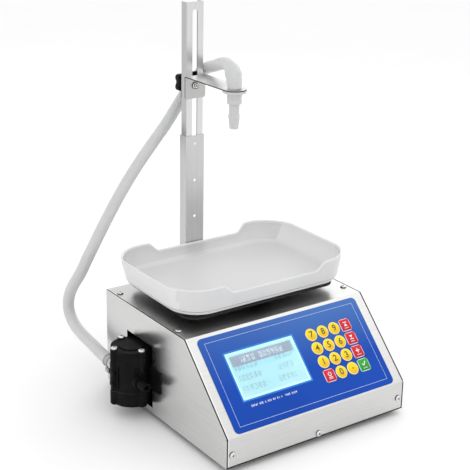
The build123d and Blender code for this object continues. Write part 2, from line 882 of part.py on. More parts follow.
with BuildPart() as hose_clamp:
    with BuildSketch(facing_back(clamp_band_y - clamp_band_w / 2, port_x, port_z)):
        Circle(hose_r + clamp_band_t)
        with Locations((0, -hose_r - worm_h / 2)):
            RectangleRounded(worm_l, worm_h, worm_corner)
        Circle(hose_r, mode=Mode.SUBTRACT)
    extrude(amount=clamp_band_w)
    with BuildSketch(Plane.YZ.offset(house_x + port_x + worm_l / 2)):
        with Locations((front_y + clamp_band_y, base_z + port_z - hose_r - worm_h / 2)):
            RegularPolygon(worm_screw_r, 6)
    extrude(amount=worm_screw_r)
save("hose_clamp", hose_clamp)


# Pump: bottom cover, gasket, body and top cap, held together by four long screws.
def pump_level(z, x=0.0):
    """A level plane on the pump's axis, or beside it."""
    return level(z, pump_x + x, pump_y)


def pump_outline(growth=0.0):
    """The pump's round body with its four screw bosses."""
    Circle(pump_r + growth)
    with PolarLocations(pump_bolt_circle, 4):
        Circle(pump_boss_r + growth)


def pump_screw_holes(radius):
    """Four holes on the screw circle, cut from a pump sketch."""
    with PolarLocations(pump_bolt_circle, 4):
        Circle(radius, mode=Mode.SUBTRACT)


gasket_z = pump_z0 + pump_cover_h
body_z = gasket_z + gasket_t
idler_x = -gear_teeth * gear_module
gear_tip_r = gear_teeth * gear_module / 2 + gear_addendum * gear_module
chamber_r = gear_tip_r + chamber_gap
chamber_z1 = gear_z1 + gear_end_gap
through_r = screw_r + screw_hole_gap

with BuildPart() as pump_bottom_cover:
    with BuildSketch(pump_level(pump_z0)):
        pump_outline(pump_cover_step)
    extrude(amount=pump_cover_h)
    fillet(pump_bottom_cover.faces().sort_by(Axis.Z)[0].edges(), pump_edge_r)
    with BuildSketch(pump_level(gasket_z)):
        with PolarLocations(pump_bolt_circle, 4):
            Circle(screw_r)
    extrude(amount=-pump_thread, mode=Mode.SUBTRACT)
    with BuildSketch(pump_level(shaft_z0)):
        with Locations((0, 0), (idler_x, 0)):
            Circle(shaft_r + fit_gap)
    extrude(amount=gasket_z - shaft_z0, mode=Mode.SUBTRACT)
save("pump_bottom_cover", pump_bottom_cover)

with BuildPart() as pump_gasket:
    with BuildSketch(pump_level(gasket_z)):
        pump_outline()
        pump_screw_holes(through_r)
        with Locations((0, 0), (idler_x, 0)):
            Circle(chamber_r, mode=Mode.SUBTRACT)
    extrude(amount=gasket_t)
save("pump_gasket", pump_gasket)

with BuildPart() as pump_body:
    with BuildSketch(pump_level(body_z)):
        pump_outline()
    extrude(amount=pump_z1 - body_z)
    with BuildSketch(facing_front(pump_y, port_x, port_z)):
        Circle(port_root_r)
    extrude(amount=port_root_l, both=True)
    with BuildSketch(facing_front(pump_y, port_x, port_z)):
        Circle(port_r)
    extrude(amount=port_front_l)
    with BuildSketch(facing_back(pump_y, port_x, port_z)):
        Circle(hose_bore_r + port_barb_grip)
    extrude(amount=port_rear_l)
    with BuildSketch(pump_level(body_z)):
        with PolarLocations(pump_bolt_circle, 4):
            Circle(through_r)
    extrude(amount=pump_z1 - body_z, mode=Mode.SUBTRACT)
    with BuildSketch(pump_level(motor_floor_z)):
        Circle(motor_cavity_r)
    extrude(amount=pump_z1 - motor_floor_z, mode=Mode.SUBTRACT)
    with BuildSketch(pump_level(body_z)):
        with Locations((0, 0), (idler_x, 0)):
            Circle(chamber_r)
    extrude(amount=chamber_z1 - body_z, mode=Mode.SUBTRACT)
    with BuildSketch(pump_level(body_z)):
        Circle(shaft_r + fit_gap)
    extrude(amount=motor_floor_z - body_z, mode=Mode.SUBTRACT)
    with BuildSketch(pump_level(body_z, idler_x)):
        Circle(shaft_r + fit_gap)
    extrude(amount=idler_z1 - body_z, mode=Mode.SUBTRACT)
    with BuildSketch(facing_front(pump_y - port_front_l, port_x, port_z)):
        Circle(port_bore_r)
    extrude(amount=-port_front_l - port_rear_l, mode=Mode.SUBTRACT)
save("pump_body", pump_body)

with BuildPart() as pump_top_cap:
    with BuildSketch(pump_level(pump_z1)):
        pump_outline()
        pump_screw_holes(through_r)
    extrude(amount=cap_t)
    with BuildSketch(pump_level(pump_z1 + cap_t)):
        Circle(cap_ring_r)
    extrude(amount=cap_ring_h)
    with BuildSketch(pump_level(pump_z1)):
        Circle(shaft_r + fit_gap)
    extrude(amount=shaft_z1 + gear_end_gap - pump_z1, mode=Mode.SUBTRACT)
save("pump_top_cap", pump_top_cap)

with BuildPart() as pump_screws:
    with BuildSketch(pump_level(pump_z1 + cap_t)):
        with PolarLocations(pump_bolt_circle, 4):
            Circle(pump_head_r)
    extrude(amount=pump_head_h)
    with BuildSketch(pump_level(pump_z1 + cap_t)):
        with PolarLocations(pump_bolt_circle, 4):
            Circle(screw_r)
    extrude(amount=gasket_z - pump_thread - pump_z1 - cap_t)
save("pump_screws", pump_screws)

with BuildPart() as motor_stator:
    with BuildSketch(pump_level(motor_floor_z)):
        Circle(motor_cavity_r - stator_gap)
        Circle(stator_bore_r, mode=Mode.SUBTRACT)
    extrude(amount=stator_h)
save("motor_stator", motor_stator)

with BuildPart() as motor_rotor:
    with BuildSketch(pump_level(motor_floor_z + rotor_lift)):
        Circle(rotor_r)
    extrude(amount=rotor_h)
    with BuildSketch(pump_level(shaft_z0 + gear_end_gap)):
        Circle(shaft_r)
    extrude(amount=shaft_z1 - shaft_z0 - gear_end_gap)
save("motor_rotor", motor_rotor)


def involute(angle):
    """The involute function of an angle in radians."""
    return math.tan(angle) - angle


def gear_points(phase):
    """A spur gear's outline, with one tooth centred on an angle in radians."""
    pitch_r = gear_teeth * gear_module / 2
    root_r = pitch_r - gear_dedendum * gear_module
    base_r = pitch_r * math.cos(math.radians(pressure_angle))
    half_tooth = math.pi / (2 * gear_teeth) - gear_backlash / (4 * pitch_r)
    half_base = half_tooth + involute(math.radians(pressure_angle))
    steps = [base_r + (gear_tip_r - base_r) * i / 4 for i in range(5)]
    flank = [(root_r, half_base)]
    flank += [(radius, half_base - involute(math.acos(base_r / radius))) for radius in steps]
    points = []
    for tooth in range(gear_teeth):
        middle = phase + 2 * math.pi * tooth / gear_teeth
        points += [(radius, middle - half) for radius, half in flank]
        points += [(radius, middle + half) for radius, half in reversed(flank)]
    return [(radius * math.cos(angle), radius * math.sin(angle)) for radius, angle in points]


gear_z0 = body_z + gear_end_gap
with BuildPart() as drive_gear:
    with BuildSketch(pump_level(gear_z0)):
        with BuildLine():
            Polyline(*gear_points(math.pi), close=True)
        make_face()
        Circle(shaft_r, mode=Mode.SUBTRACT)
    extrude(amount=gear_z1 - gear_z0)
save("drive_gear", drive_gear)

with BuildPart() as driven_gear:
    with BuildSketch(pump_level(gear_z0, idler_x)):
        with BuildLine():
            Polyline(*gear_points(math.pi / gear_teeth), close=True)
        make_face()
    extrude(amount=gear_z1 - gear_z0)
    with BuildSketch(pump_level(shaft_z0 + gear_end_gap, idler_x)):
        Circle(shaft_r)
    extrude(amount=idler_z1 - shaft_z0 - 2 * gear_end_gap)
save("driven_gear", driven_gear)

with BuildPart() as pump_bracket:
    with BuildSketch(pump_level(bracket_z0)):
        Circle(bracket_r)
        with Locations((pump_off - bracket_t - bracket_r, 0)):
            Rectangle(2 * bracket_r, 2 * bracket_r, mode=Mode.SUBTRACT)
        with Locations((pump_off - bracket_t / 2, 0)):
            Rectangle(bracket_t, 2 * bracket_reach)
        Circle(pump_r + bracket_gap, mode=Mode.SUBTRACT)
        with PolarLocations(pump_bolt_circle, 4):
            Circle(pump_boss_r + bracket_gap, mode=Mode.SUBTRACT)
    extrude(amount=bracket_z1 - bracket_z0)
    with BuildSketch(Plane.YZ.offset(left_x)):
        with Locations((front_y + pump_y, base_z + (bracket_z0 + bracket_z1) / 2)):
            with GridLocations(2 * stud_y, 2 * stud_z, 2, 2):
                Circle(stud_r)
    extrude(amount=stud_l)
save("pump_bracket", pump_bracket)

with BuildPart() as bracket_nuts:
    with BuildSketch(Plane.YZ.offset(left_x + sheet_t)):
        with Locations((front_y + pump_y, base_z + (bracket_z0 + bracket_z1) / 2)):
            with GridLocations(2 * stud_y, 2 * stud_z, 2, 2):
                RegularPolygon(nut_r, 6)
                Circle(stud_r, mode=Mode.SUBTRACT)
    extrude(amount=nut_t)
save("bracket_nuts", bracket_nuts)

# Back panel: mains inlet and rocker switch.
with BuildPart() as power_inlet:
    with BuildSketch(facing_back(house_d, inlet_x, inlet_z)):
        RectangleRounded(inlet_flange_w, inlet_flange_h, inlet_flange_t)
    extrude(amount=inlet_flange_t)
    with BuildSketch(facing_back(house_d, inlet_x, inlet_z)):
        Rectangle(inlet_body_w, inlet_body_h)
    extrude(amount=-inlet_body_d)
    with BuildSketch(facing_back(house_d + inlet_flange_t, inlet_x, inlet_z)):
        Rectangle(inlet_cavity_w, inlet_cavity_h)
    extrude(amount=-inlet_cavity_d, mode=Mode.SUBTRACT)
    with BuildSketch(facing_back(house_d + inlet_flange_t - inlet_cavity_d, inlet_x, inlet_z)):
        with Locations((-inlet_pin_dx, -inlet_pin_dz), (0, inlet_pin_dz), (inlet_pin_dx, -inlet_pin_dz)):
            Rectangle(inlet_pin_w, inlet_pin_h)
    extrude(amount=inlet_pin_l)
save("power_inlet", power_inlet)

pivot_y = house_d + switch_flange_t - rocker_pin_d
pin_half = (switch_well_w + rocker_pin_r) / 2
with BuildPart() as switch_frame:
    with BuildSketch(facing_back(house_d, switch_x, switch_z)):
        RectangleRounded(switch_flange_w, switch_flange_h, switch_flange_t)
    extrude(amount=switch_flange_t)
    with BuildSketch(facing_back(house_d, switch_x, switch_z)):
        Rectangle(switch_body_w, switch_body_h)
    extrude(amount=-switch_body_d)
    with BuildSketch(facing_back(house_d + switch_flange_t, switch_x, switch_z)):
        Rectangle(switch_well_w, switch_well_h)
    extrude(amount=-switch_well_d, mode=Mode.SUBTRACT)
    with BuildSketch(Plane.YZ.offset(house_x + switch_x)):
        with Locations((front_y + pivot_y, base_z + switch_z)):
            Circle(rocker_pin_r + fit_gap)
    extrude(amount=pin_half + fit_gap, both=True, mode=Mode.SUBTRACT)
save("switch_frame", switch_frame)

tilt = math.radians(rocker_tilt)
rocker_plane = Plane(
    origin=place(switch_x, pivot_y, switch_z),
    x_dir=(0, math.cos(tilt), -math.sin(tilt)),
    z_dir=(1, 0, 0),
)
with BuildPart() as switch_rocker:
    with BuildSketch(rocker_plane):
        with BuildLine():
            Polyline(
                (rocker_proud, -rocker_h / 2),
                (rocker_proud / 2, 0),
                (rocker_proud, rocker_h / 2),
                (0, rocker_h / 2),
                (-rocker_back, rocker_h / 3),
                (-rocker_back, -rocker_h / 3),
                (0, -rocker_h / 2),
                close=True,
            )
        make_face()
    extrude(amount=rocker_w / 2, both=True)
    with BuildSketch(rocker_plane):
        Circle(rocker_pin_r)
    extrude(amount=pin_half, both=True)
save("switch_rocker", switch_rocker)

# Electronics on the pan: controller and power supply.
with BuildPart() as board_standoffs:
    with BuildSketch(level(sheet_t, pcb_x, pcb_y)):
        with GridLocations(pcb_w - 2 * standoff_inset, pcb_d - 2 * standoff_inset, 2, 2):
            Circle(standoff_r)
    extrude(amount=pcb_z - sheet_t)
save("board_standoffs", board_standoffs)

with BuildPart() as control_board:
    with BuildSketch(level(pcb_z, pcb_x, pcb_y)):
        Rectangle(pcb_w, pcb_d)
    extrude(amount=board_t)
    with BuildSketch(level(pcb_z + board_t, pcb_x, pcb_y)):
        with GridLocations(pcb_w / 3, pcb_d / 2, 3, 2):
            Rectangle(chip_w, chip_d)
    extrude(amount=chip_h)
save("control_board", control_board)

with BuildPart() as power_supply:
    with BuildSketch(level(sheet_t, psu_x, psu_y)):
        Rectangle(psu_w, psu_d)
    extrude(amount=psu_h)
    vent_face = power_supply.faces().sort_by(Axis.Z)[-1]
    with BuildSketch(vent_face):
        with GridLocations(vent_pitch, 0, vent_count, 1):
            SlotOverall(psu_d / 2, board_t, rotation=90)
    extrude(amount=-board_t, mode=Mode.SUBTRACT)
save("power_supply", power_supply)
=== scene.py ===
import math
import random

import bmesh
import bpy
from mathutils import Matrix, Vector


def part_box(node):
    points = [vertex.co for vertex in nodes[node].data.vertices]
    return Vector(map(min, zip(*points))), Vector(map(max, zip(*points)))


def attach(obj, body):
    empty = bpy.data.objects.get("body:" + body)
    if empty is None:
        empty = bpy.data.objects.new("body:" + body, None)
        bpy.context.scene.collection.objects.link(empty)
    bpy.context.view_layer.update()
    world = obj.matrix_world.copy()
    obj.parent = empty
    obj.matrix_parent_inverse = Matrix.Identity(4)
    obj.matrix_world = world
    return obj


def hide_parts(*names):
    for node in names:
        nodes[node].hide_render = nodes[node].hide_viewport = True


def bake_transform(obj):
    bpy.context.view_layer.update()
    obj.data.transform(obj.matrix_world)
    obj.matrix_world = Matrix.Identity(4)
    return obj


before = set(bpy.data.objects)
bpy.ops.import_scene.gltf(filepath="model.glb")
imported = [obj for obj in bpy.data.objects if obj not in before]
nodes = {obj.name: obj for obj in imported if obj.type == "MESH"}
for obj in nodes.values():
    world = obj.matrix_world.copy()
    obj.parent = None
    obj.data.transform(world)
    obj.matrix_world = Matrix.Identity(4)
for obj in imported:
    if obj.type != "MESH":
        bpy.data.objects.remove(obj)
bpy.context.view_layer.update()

# Housing pan: one sheet of brushed stainless steel, about 1.2 mm thick, bent up into the
# floor and the two side panels. The left side has the window that the pump stands in.
pan_low, pan_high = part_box("base_pan")
cover_low, cover_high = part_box("top_cover")
housing = Vector(((pan_low.x + pan_high.x) / 2, pan_low.y, pan_low.z))


def put(tree, kind, fill=None, **settings):
    """Add a shader node, set its settings, and fill its inputs with values or with other nodes' outputs."""
    made = tree.nodes.new("ShaderNode" + kind)
    for name, value in settings.items():
        setattr(made, name, value)
    for name, value in (fill or {}).items():
        if isinstance(value, bpy.types.NodeSocket):
            tree.links.new(value, made.inputs[name])
        else:
            made.inputs[name].default_value = value
    return made


def empty_group(name, takes, gives):
    """A shader node group with its named inputs and outputs, still empty inside."""
    tree = bpy.data.node_groups.new(name, "ShaderNodeTree")
    for label, kind, value in takes:
        socket = tree.interface.new_socket(label, in_out="INPUT", socket_type="NodeSocket" + kind)
        socket.default_value = value
    for label, kind in gives:
        tree.interface.new_socket(label, in_out="OUTPUT", socket_type="NodeSocket" + kind)
    return tree, tree.nodes.new("NodeGroupInput").outputs, tree.nodes.new("NodeGroupOutput").inputs


def bare_material(name):
    """A new material with an empty node tree and its output."""
    made = bpy.data.materials.new(name)
    made.use_nodes = True
    made.node_tree.nodes.clear()
    return made, made.node_tree, made.node_tree.nodes.new("ShaderNodeOutputMaterial").inputs["Surface"]


def mixed(tree, share, one, other):
    """One colour turning into another as share goes from 0 to 1."""
    return put(tree, "Mix", {0: share, 6: one, 7: other}, data_type="RGBA").outputs[2]


def ranged(tree, value, low, high, start=0.0, end=1.0):
    """A value brought from start..end to low..high."""
    return put(tree, "MapRange", {0: value, 1: start, 2: end, 3: low, 4: high}).outputs[0]


def noise(tree, scale, detail):
    """A noise node over the piece's own space."""
    place = put(tree, "TexCoord").outputs["Object"]
    return put(tree, "TexNoise", {"Vector": place, "Scale": scale, "Detail": detail})


# The abrasive belt leaves fine parallel scratches, and hands leave faint cloudy patches.
brushing, given, gives = empty_group(
    "brushed_scratches",
    [("Place", "Vector", (0, 0, 0)), ("Stretch", "Vector", (900, 12, 900))],
    [("Scratches", "Float"), ("Patches", "Float")],
)
along = put(brushing, "VectorMath", {0: given["Place"], 1: given["Stretch"]}, operation="MULTIPLY")
fine = put(brushing, "TexNoise", {"Vector": along.outputs[0], "Scale": 1.0, "Detail": 4.0, "Roughness": 0.7})
cloud = put(brushing, "TexNoise", {"Vector": given["Place"], "Scale": 11.0, "Detail": 3.0, "Roughness": 0.5})
brushing.links.new(ranged(brushing, fine.outputs[0], 0.0, 1.0, 0.3, 0.7), gives["Scratches"])
brushing.links.new(ranged(brushing, cloud.outputs[0], 0.0, 1.0, 0.35, 0.65), gives["Patches"])


def brushed_steel(name, stretch, dark, pale, rough, relief=0.12):
    """Brushed stainless steel: long scratches across the light, and patches a little duller."""
    made, tree, surface = bare_material(name)
    place = put(tree, "TexCoord").outputs["Object"]
    marks = put(tree, "Group", {"Place": place, "Stretch": stretch}, node_tree=brushing)
    tone = mixed(tree, marks.outputs["Scratches"], (*dark, 1), (*pale, 1))
    clouded = put(tree, "Mix", {0: 0.04, 6: tone}, data_type="RGBA", blend_type="MULTIPLY")
    tree.links.new(mixed(tree, marks.outputs["Patches"], (0.7, 0.7, 0.7, 1), (1, 1, 1, 1)), clouded.inputs[7])
    dull = ranged(tree, marks.outputs["Patches"], rough - 0.015, rough + 0.03)
    bump = put(tree, "Bump", {"Strength": relief, "Distance": 0.00004, "Height": marks.outputs["Scratches"]})
    steel = put(tree, "BsdfPrincipled", {
        "Base Color": clouded.outputs[2], "Metallic": 1.0, "Roughness": dull, "Normal": bump.outputs[0],
        "Anisotropic": 0.35,
    })
    tree.links.new(steel.outputs[0], surface)
    return made


def finish_node(name, made, bevel=0.0, angle=30):
    """Give a CAD node its material, and where asked a small rounding on its sharp edges."""
    node = nodes[name]
    node.data.materials.clear()
    node.data.materials.append(made)
    if bevel:
        weld = node.modifiers.new("join_faces", "WELD")
        weld.merge_threshold = 0.00001
        rounding = node.modifiers.new("edge_rounding", "BEVEL")
        rounding.width = bevel
        rounding.segments = 2
        rounding.limit_method = "ANGLE"
        rounding.angle_limit = math.radians(angle)
        rounding.harden_normals = True


def retoned(made, mask, colour):
    """Give a steel another tone where a mask is 1."""
    tree = made.node_tree
    steel = next(node for node in tree.nodes if node.bl_idname == "ShaderNodeBsdfPrincipled")
    plain = steel.inputs["Base Color"].links[0].from_socket
    tree.links.new(mixed(tree, mask, plain, (*colour, 1)), steel.inputs["Base Color"])


def facing(tree, axis, limit):
    """1 on faces that look along an axis, either way, and 0 on the others."""
    parts = put(tree, "SeparateXYZ", {0: put(tree, "NewGeometry").outputs["True Normal"]})
    size = put(tree, "Math", {0: parts.outputs[axis]}, operation="ABSOLUTE")
    return put(tree, "Math", {0: size.outputs[0], 1: limit}, operation="GREATER_THAN").outputs[0]


def beyond(tree, axis, limit, side=1):
    """1 past a place along an axis: above it, or below it where side is -1."""
    parts = put(tree, "SeparateXYZ", {0: put(tree, "TexCoord").outputs["Object"]})
    kind = "GREATER_THAN" if side > 0 else "LESS_THAN"
    return put(tree, "Math", {0: parts.outputs[axis], 1: limit}, operation=kind).outputs[0]


# Every face of the pan that doesn't look sideways, such as the side panels' cut edges, is painted near-black:
# a painted shade that widens the dark seam line. The sideways faces keep the brushed tone.
side_steel = brushed_steel(
    "side_panel_steel", (1100, 14, 1100), (0.60, 0.60, 0.595), (0.70, 0.70, 0.695), 0.24, 0.05,
)
flat_face = facing(side_steel.node_tree, 0, 0.5)
painted_edge_shade = put(side_steel.node_tree, "Math", {0: 1.0, 1: flat_face}, operation="SUBTRACT").outputs[0]
retoned(side_steel, painted_edge_shade, (0.05, 0.05, 0.05))
finish_node("base_pan", side_steel)

# Cover: a second brushed sheet, bent into lip, slope, top and back. Its scratches run
# from side to side, and it is held down by screws along its edges.
cover_steel = brushed_steel(
    "cover_steel", (14, 1100, 1100), (0.60, 0.595, 0.59), (0.70, 0.695, 0.69), 0.32, 0.05,
)
# The cover's first 1.2 mm at its left edge is painted near-white: a painted highlight along its bent edge.
retoned(cover_steel, beyond(cover_steel.node_tree, 0, cover_low.x + 0.0012, -1), (0.93, 0.93, 0.92))
finish_node("top_cover", cover_steel)

# Cover screws: bright pan heads with a cross recess, pressed from plated steel wire.
# Each shank runs through the cover into the pan's flange.


def ring(place, across, up, radius, sides=40, lobes=0, depth=0.0):
    """The points of a circle, or of a lobed one, round a place."""
    turns = [2 * math.pi * i / sides for i in range(sides)]
    spans = [radius + depth * math.cos(lobes * turn) for turn in turns]
    return [
        place + across * span * math.cos(turn) + up * span * math.sin(turn)
        for turn, span in zip(turns, spans)
    ]


def skin(rings, looped=False):
    """A bmesh through rings of points, with filled ends, or joined back to its start."""
    made = bmesh.new()
    rows = [[made.verts.new(point) for point in points] for points in rings]
    pairs = list(zip(rows, rows[1:])) + ([(rows[-1], rows[0])] if looped else [])
    for one, other in pairs:
        for i in range(len(one)):
            j = (i + 1) % len(one)
            made.faces.new((one[i], one[j], other[j], other[i]))
    if not looped:
        made.faces.new(rows[0])
        made.faces.new(rows[-1])
    bmesh.ops.recalc_face_normals(made, faces=made.faces)
    return made


def turned(profile, place, axis, sides=40, looped=False):
    """A bmesh turned from (radius, height) pairs about an axis through a place."""
    axis = Vector(axis).normalized()
    across = axis.orthogonal().normalized()
    up = axis.cross(across)
    place = Vector(place)
    return skin(
        [ring(place + axis * height, across, up, radius, sides) for radius, height in profile], looped,
    )


def piece(name, made, paint, smooth=35):
    """Turn a bmesh into a named piece with its material and smooth shading up to an angle."""
    mesh = bpy.data.meshes.new(name)
    made.to_mesh(mesh)
    made.free()
    mesh.shade_smooth()
    mesh.set_sharp_from_angle(angle=math.radians(smooth))
    mesh.materials.append(paint)
    built = bpy.data.objects.new(name, mesh)
    bpy.context.scene.collection.objects.link(built)
    return built


def joined(parts):
    """Several bmeshes as one."""
    whole = bmesh.new()
    for part in parts:
        scratch = bpy.data.meshes.new("scratch")
        part.to_mesh(scratch)
        part.free()
        whole.from_mesh(scratch)
        bpy.data.meshes.remove(scratch)
    return whole


def islands(name):
    """The low and high corners of each separate solid in a CAD node."""
    made = bmesh.new()
    made.from_mesh(nodes[name].data)
    bmesh.ops.remove_doubles(made, verts=made.verts, dist=0.00001)
    found, seen = [], set()
    for start in made.verts:
        if start in seen:
            continue
        seen.add(start)
        reached = [start]
        for vertex in reached:
            for edge in vertex.link_edges:
                other = edge.other_vert(vertex)
                if other not in seen:
                    seen.add(other)
                    reached.append(other)
        points = [vertex.co.copy() for vertex in reached]
        low = Vector(min(p[i] for p in points) for i in range(3))
        high = Vector(max(p[i] for p in points) for i in range(3))
        found.append((low, high))
    made.free()
    return found


def cross_head(radius, height, shank_r, shank_l, recess=0.62):
    """A pan head screw along +Z with a cross recess, its seat at the origin, as a mesh."""
    whole = turned(
        [
            (shank_r, -shank_l), (shank_r, 0), (radius * 0.98, 0), (radius, height * 0.18),
            (radius * 0.97, height * 0.5), (radius * 0.84, height * 0.8), (radius * 0.58, height * 0.96),
            (radius * 0.2, height),
        ],
        (0, 0, 0), (0, 0, 1), 36,
    )
    head = piece("screw_blank", whole, screw_steel)
    arms = []
    for turn in (0, math.pi / 2):
        arm = bmesh.new()
        bmesh.ops.create_cube(arm, size=1.0)
        for vertex in arm.verts:
            low = vertex.co.z < 0
            vertex.co.x *= 2 * radius * recess * (0.55 if low else 1.0)
            vertex.co.y *= radius * 0.2 * (0.7 if low else 1.0)
            vertex.co.z = height * (0.35 if low else 1.3)
        bmesh.ops.rotate(arm, verts=arm.verts, matrix=Matrix.Rotation(turn, 3, "Z"))
        arms.append(arm)
    cutter = piece("cross_cutter", joined(arms), screw_steel)
    cut = head.modifiers.new("recess", "BOOLEAN")
    cut.operation = "DIFFERENCE"
    cut.solver = "EXACT"
    cut.use_self = True
    cut.object = cutter
    done = bpy.data.meshes.new_from_object(head.evaluated_get(bpy.context.evaluated_depsgraph_get()))
    bpy.data.objects.remove(head)
    bpy.data.objects.remove(cutter)
    # Faces in the recess and round the foot of the rim take the second material, a near-black painted shade.
    for face in done.polygons:
        reach = face.center.xy.length
        in_recess = reach < radius * recess * 1.05 and face.center.z < height * 0.9 and face.normal.z > -0.5
        on_rim = reach > radius * 0.9 and face.center.z < height * 0.4
        face.material_index = 1 if in_recess or on_rim else 0
    return done


def screws(name, head, seats, paint):
    """One piece of many screws: each seat is a place, an outward direction and a turn of its cross."""
    made = bmesh.new()
    for place, outward, turn in seats:
        start = len(made.verts)
        made.from_mesh(head)
        made.verts.ensure_lookup_table()
        fresh = made.verts[start:]
        aim = Vector(outward).to_track_quat("Z", "Y").to_matrix().to_4x4() @ Matrix.Rotation(turn, 4, "Z")
        bmesh.ops.transform(made, verts=fresh, matrix=Matrix.Translation(place) @ aim)
    built = piece(name, made, paint)
    built.data.materials.append(screw_painted_shade)
    return built


# Plated wire is nearly a mirror; faces in the recess and round the foot of the rim take a near-black
# material, a painted shade.
def plated_steel(name, colour, rough):
    """Bright plated steel with faint turning marks."""
    made, tree, surface = bare_material(name)
    place = put(tree, "TexCoord").outputs["Object"]
    marks = put(tree, "Group", {"Place": place, "Stretch": (700, 700, 700)}, node_tree=brushing)
    tone = mixed(tree, marks.outputs["Scratches"], (*(0.72 * c for c in colour), 1), (*colour, 1))
    dull = ranged(tree, marks.outputs["Scratches"], rough + 0.08, rough)
    bump = put(tree, "Bump", {"Strength": 0.08, "Distance": 0.00003, "Height": marks.outputs["Scratches"]})
    metal = put(tree, "BsdfPrincipled", {
        "Base Color": tone, "Metallic": 1.0, "Roughness": dull, "Normal": bump.outputs[0],
    })
    tree.links.new(metal.outputs[0], surface)
    return made


screw_steel = plated_steel("screw_steel", (0.86, 0.86, 0.85), 0.16)
screw_painted_shade = plated_steel("screw_painted_shade", (0.10, 0.10, 0.10), 0.42)
random.seed(7)
cover_seats = []
for low, high in islands("cover_screws"):
    middle = (low + high) / 2
    if high.z > cover_high.z:
        cover_seats.append((Vector((middle.x, middle.y, cover_high.z)), (0, 0, 1), random.uniform(0, 1.5)))
    elif low.y < cover_low.y:
        cover_seats.append((Vector((middle.x, cover_low.y, middle.z)), (0, -1, 0), random.uniform(0, 1.5)))
    else:
        cover_seats.append((Vector((middle.x, cover_high.y, middle.z)), (0, 1, 0), random.uniform(0, 1.5)))
cover_head = cross_head(0.0046, 0.0024, 0.002, 0.006)
cover_screws = screws("cover_screw_heads", cover_head, cover_seats, screw_steel)
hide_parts("cover_screws")
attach(cover_screws, "root")

# Feet: four black rubber mouldings with a little bloom, pushed through holes in the pan.
# The tray's four pads and the pump's gasket are of the same rubber.


def rubber(name, colour, rough=0.75):
    """Matt moulded rubber with a fine grain and a pale bloom in patches."""
    made, tree, surface = bare_material(name)
    place = put(tree, "TexCoord").outputs["Object"]
    grain = put(tree, "TexNoise", {"Vector": place, "Scale": 2600.0, "Detail": 2.0})
    bloom = put(tree, "TexNoise", {"Vector": place, "Scale": 90.0, "Detail": 4.0})
    bloomed = ranged(tree, bloom.outputs[0], 0, 1, 0.4, 0.7)
    tone = mixed(tree, bloomed, (*colour, 1), (*(c + 0.03 for c in colour), 1))
    bump = put(tree, "Bump", {"Strength": 0.25, "Distance": 0.00005, "Height": grain.outputs[0]})
    skinned = put(tree, "BsdfPrincipled", {
        "Base Color": tone, "Roughness": ranged(tree, bloom.outputs[0], rough - 0.1, rough + 0.1),
        "Normal": bump.outputs[0], "Specular IOR Level": 0.35,
    })
    tree.links.new(skinned.outputs[0], surface)
    return made


foot_rubber = rubber("foot_rubber", (0.018, 0.018, 0.018))
finish_node("rubber_feet", foot_rubber)
finish_node("tray_pads", foot_rubber)
finish_node("pump_gasket", foot_rubber)

# Panel overlay: a polyester film, screen printed on its back in blue with a thin white
# frame line and a row of small white print, and glued over the slope.
overlay_low, overlay_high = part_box("panel_overlay")
window_low, window_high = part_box("display_window")
slope_up = Vector((0, 1, 1)).normalized()
slope_out = Vector((0, -1, 1)).normalized()
panel_middle = (overlay_low + overlay_high) / 2
panel_half_w = (overlay_high.x - overlay_low.x) / 2
film_t = 0.001
panel_half_h = ((overlay_high - overlay_low).yz.length - film_t) / 2

# Place on the slope: across from the panel's middle, and up the slope from it.
slope_place, given, gives = empty_group(
    "place_on_slope",
    [("Place", "Vector", (0, 0, 0)), ("Middle", "Vector", panel_middle), ("Up", "Vector", slope_up)],
    [("Across", "Float"), ("Up The Slope", "Float")],
)
from_middle = put(slope_place, "VectorMath", {0: given["Place"], 1: given["Middle"]}, operation="SUBTRACT")
rise = put(slope_place, "VectorMath", {0: from_middle.outputs[0], 1: given["Up"]}, operation="DOT_PRODUCT")
sideways = put(slope_place, "SeparateXYZ", {0: from_middle.outputs[0]})
slope_place.links.new(sideways.outputs[0], gives["Across"])
slope_place.links.new(rise.outputs["Value"], gives["Up The Slope"])

# A printed patch: 1 inside a rectangle with these half sizes, and 0 outside it.
patch, given, gives = empty_group(
    "printed_patch",
    [("Across", "Float", 0.0), ("Up", "Float", 0.0), ("Middle Across", "Float", 0.0),
     ("Middle Up", "Float", 0.0), ("Half Width", "Float", 0.1), ("Half Height", "Float", 0.1)],
    [("Inside", "Float")],
)
sides = []
for label, middle, half in (("Across", "Middle Across", "Half Width"), ("Up", "Middle Up", "Half Height")):
    away = put(patch, "Math", {0: given[label], 1: given[middle]}, operation="SUBTRACT")
    span = put(patch, "Math", {0: away.outputs[0]}, operation="ABSOLUTE")
    sides.append(put(patch, "Math", {0: span.outputs[0], 1: given[half]}, operation="LESS_THAN").outputs[0])
in_both = put(patch, "Math", {0: sides[0], 1: sides[1]}, operation="MULTIPLY")
patch.links.new(in_both.outputs[0], gives["Inside"])

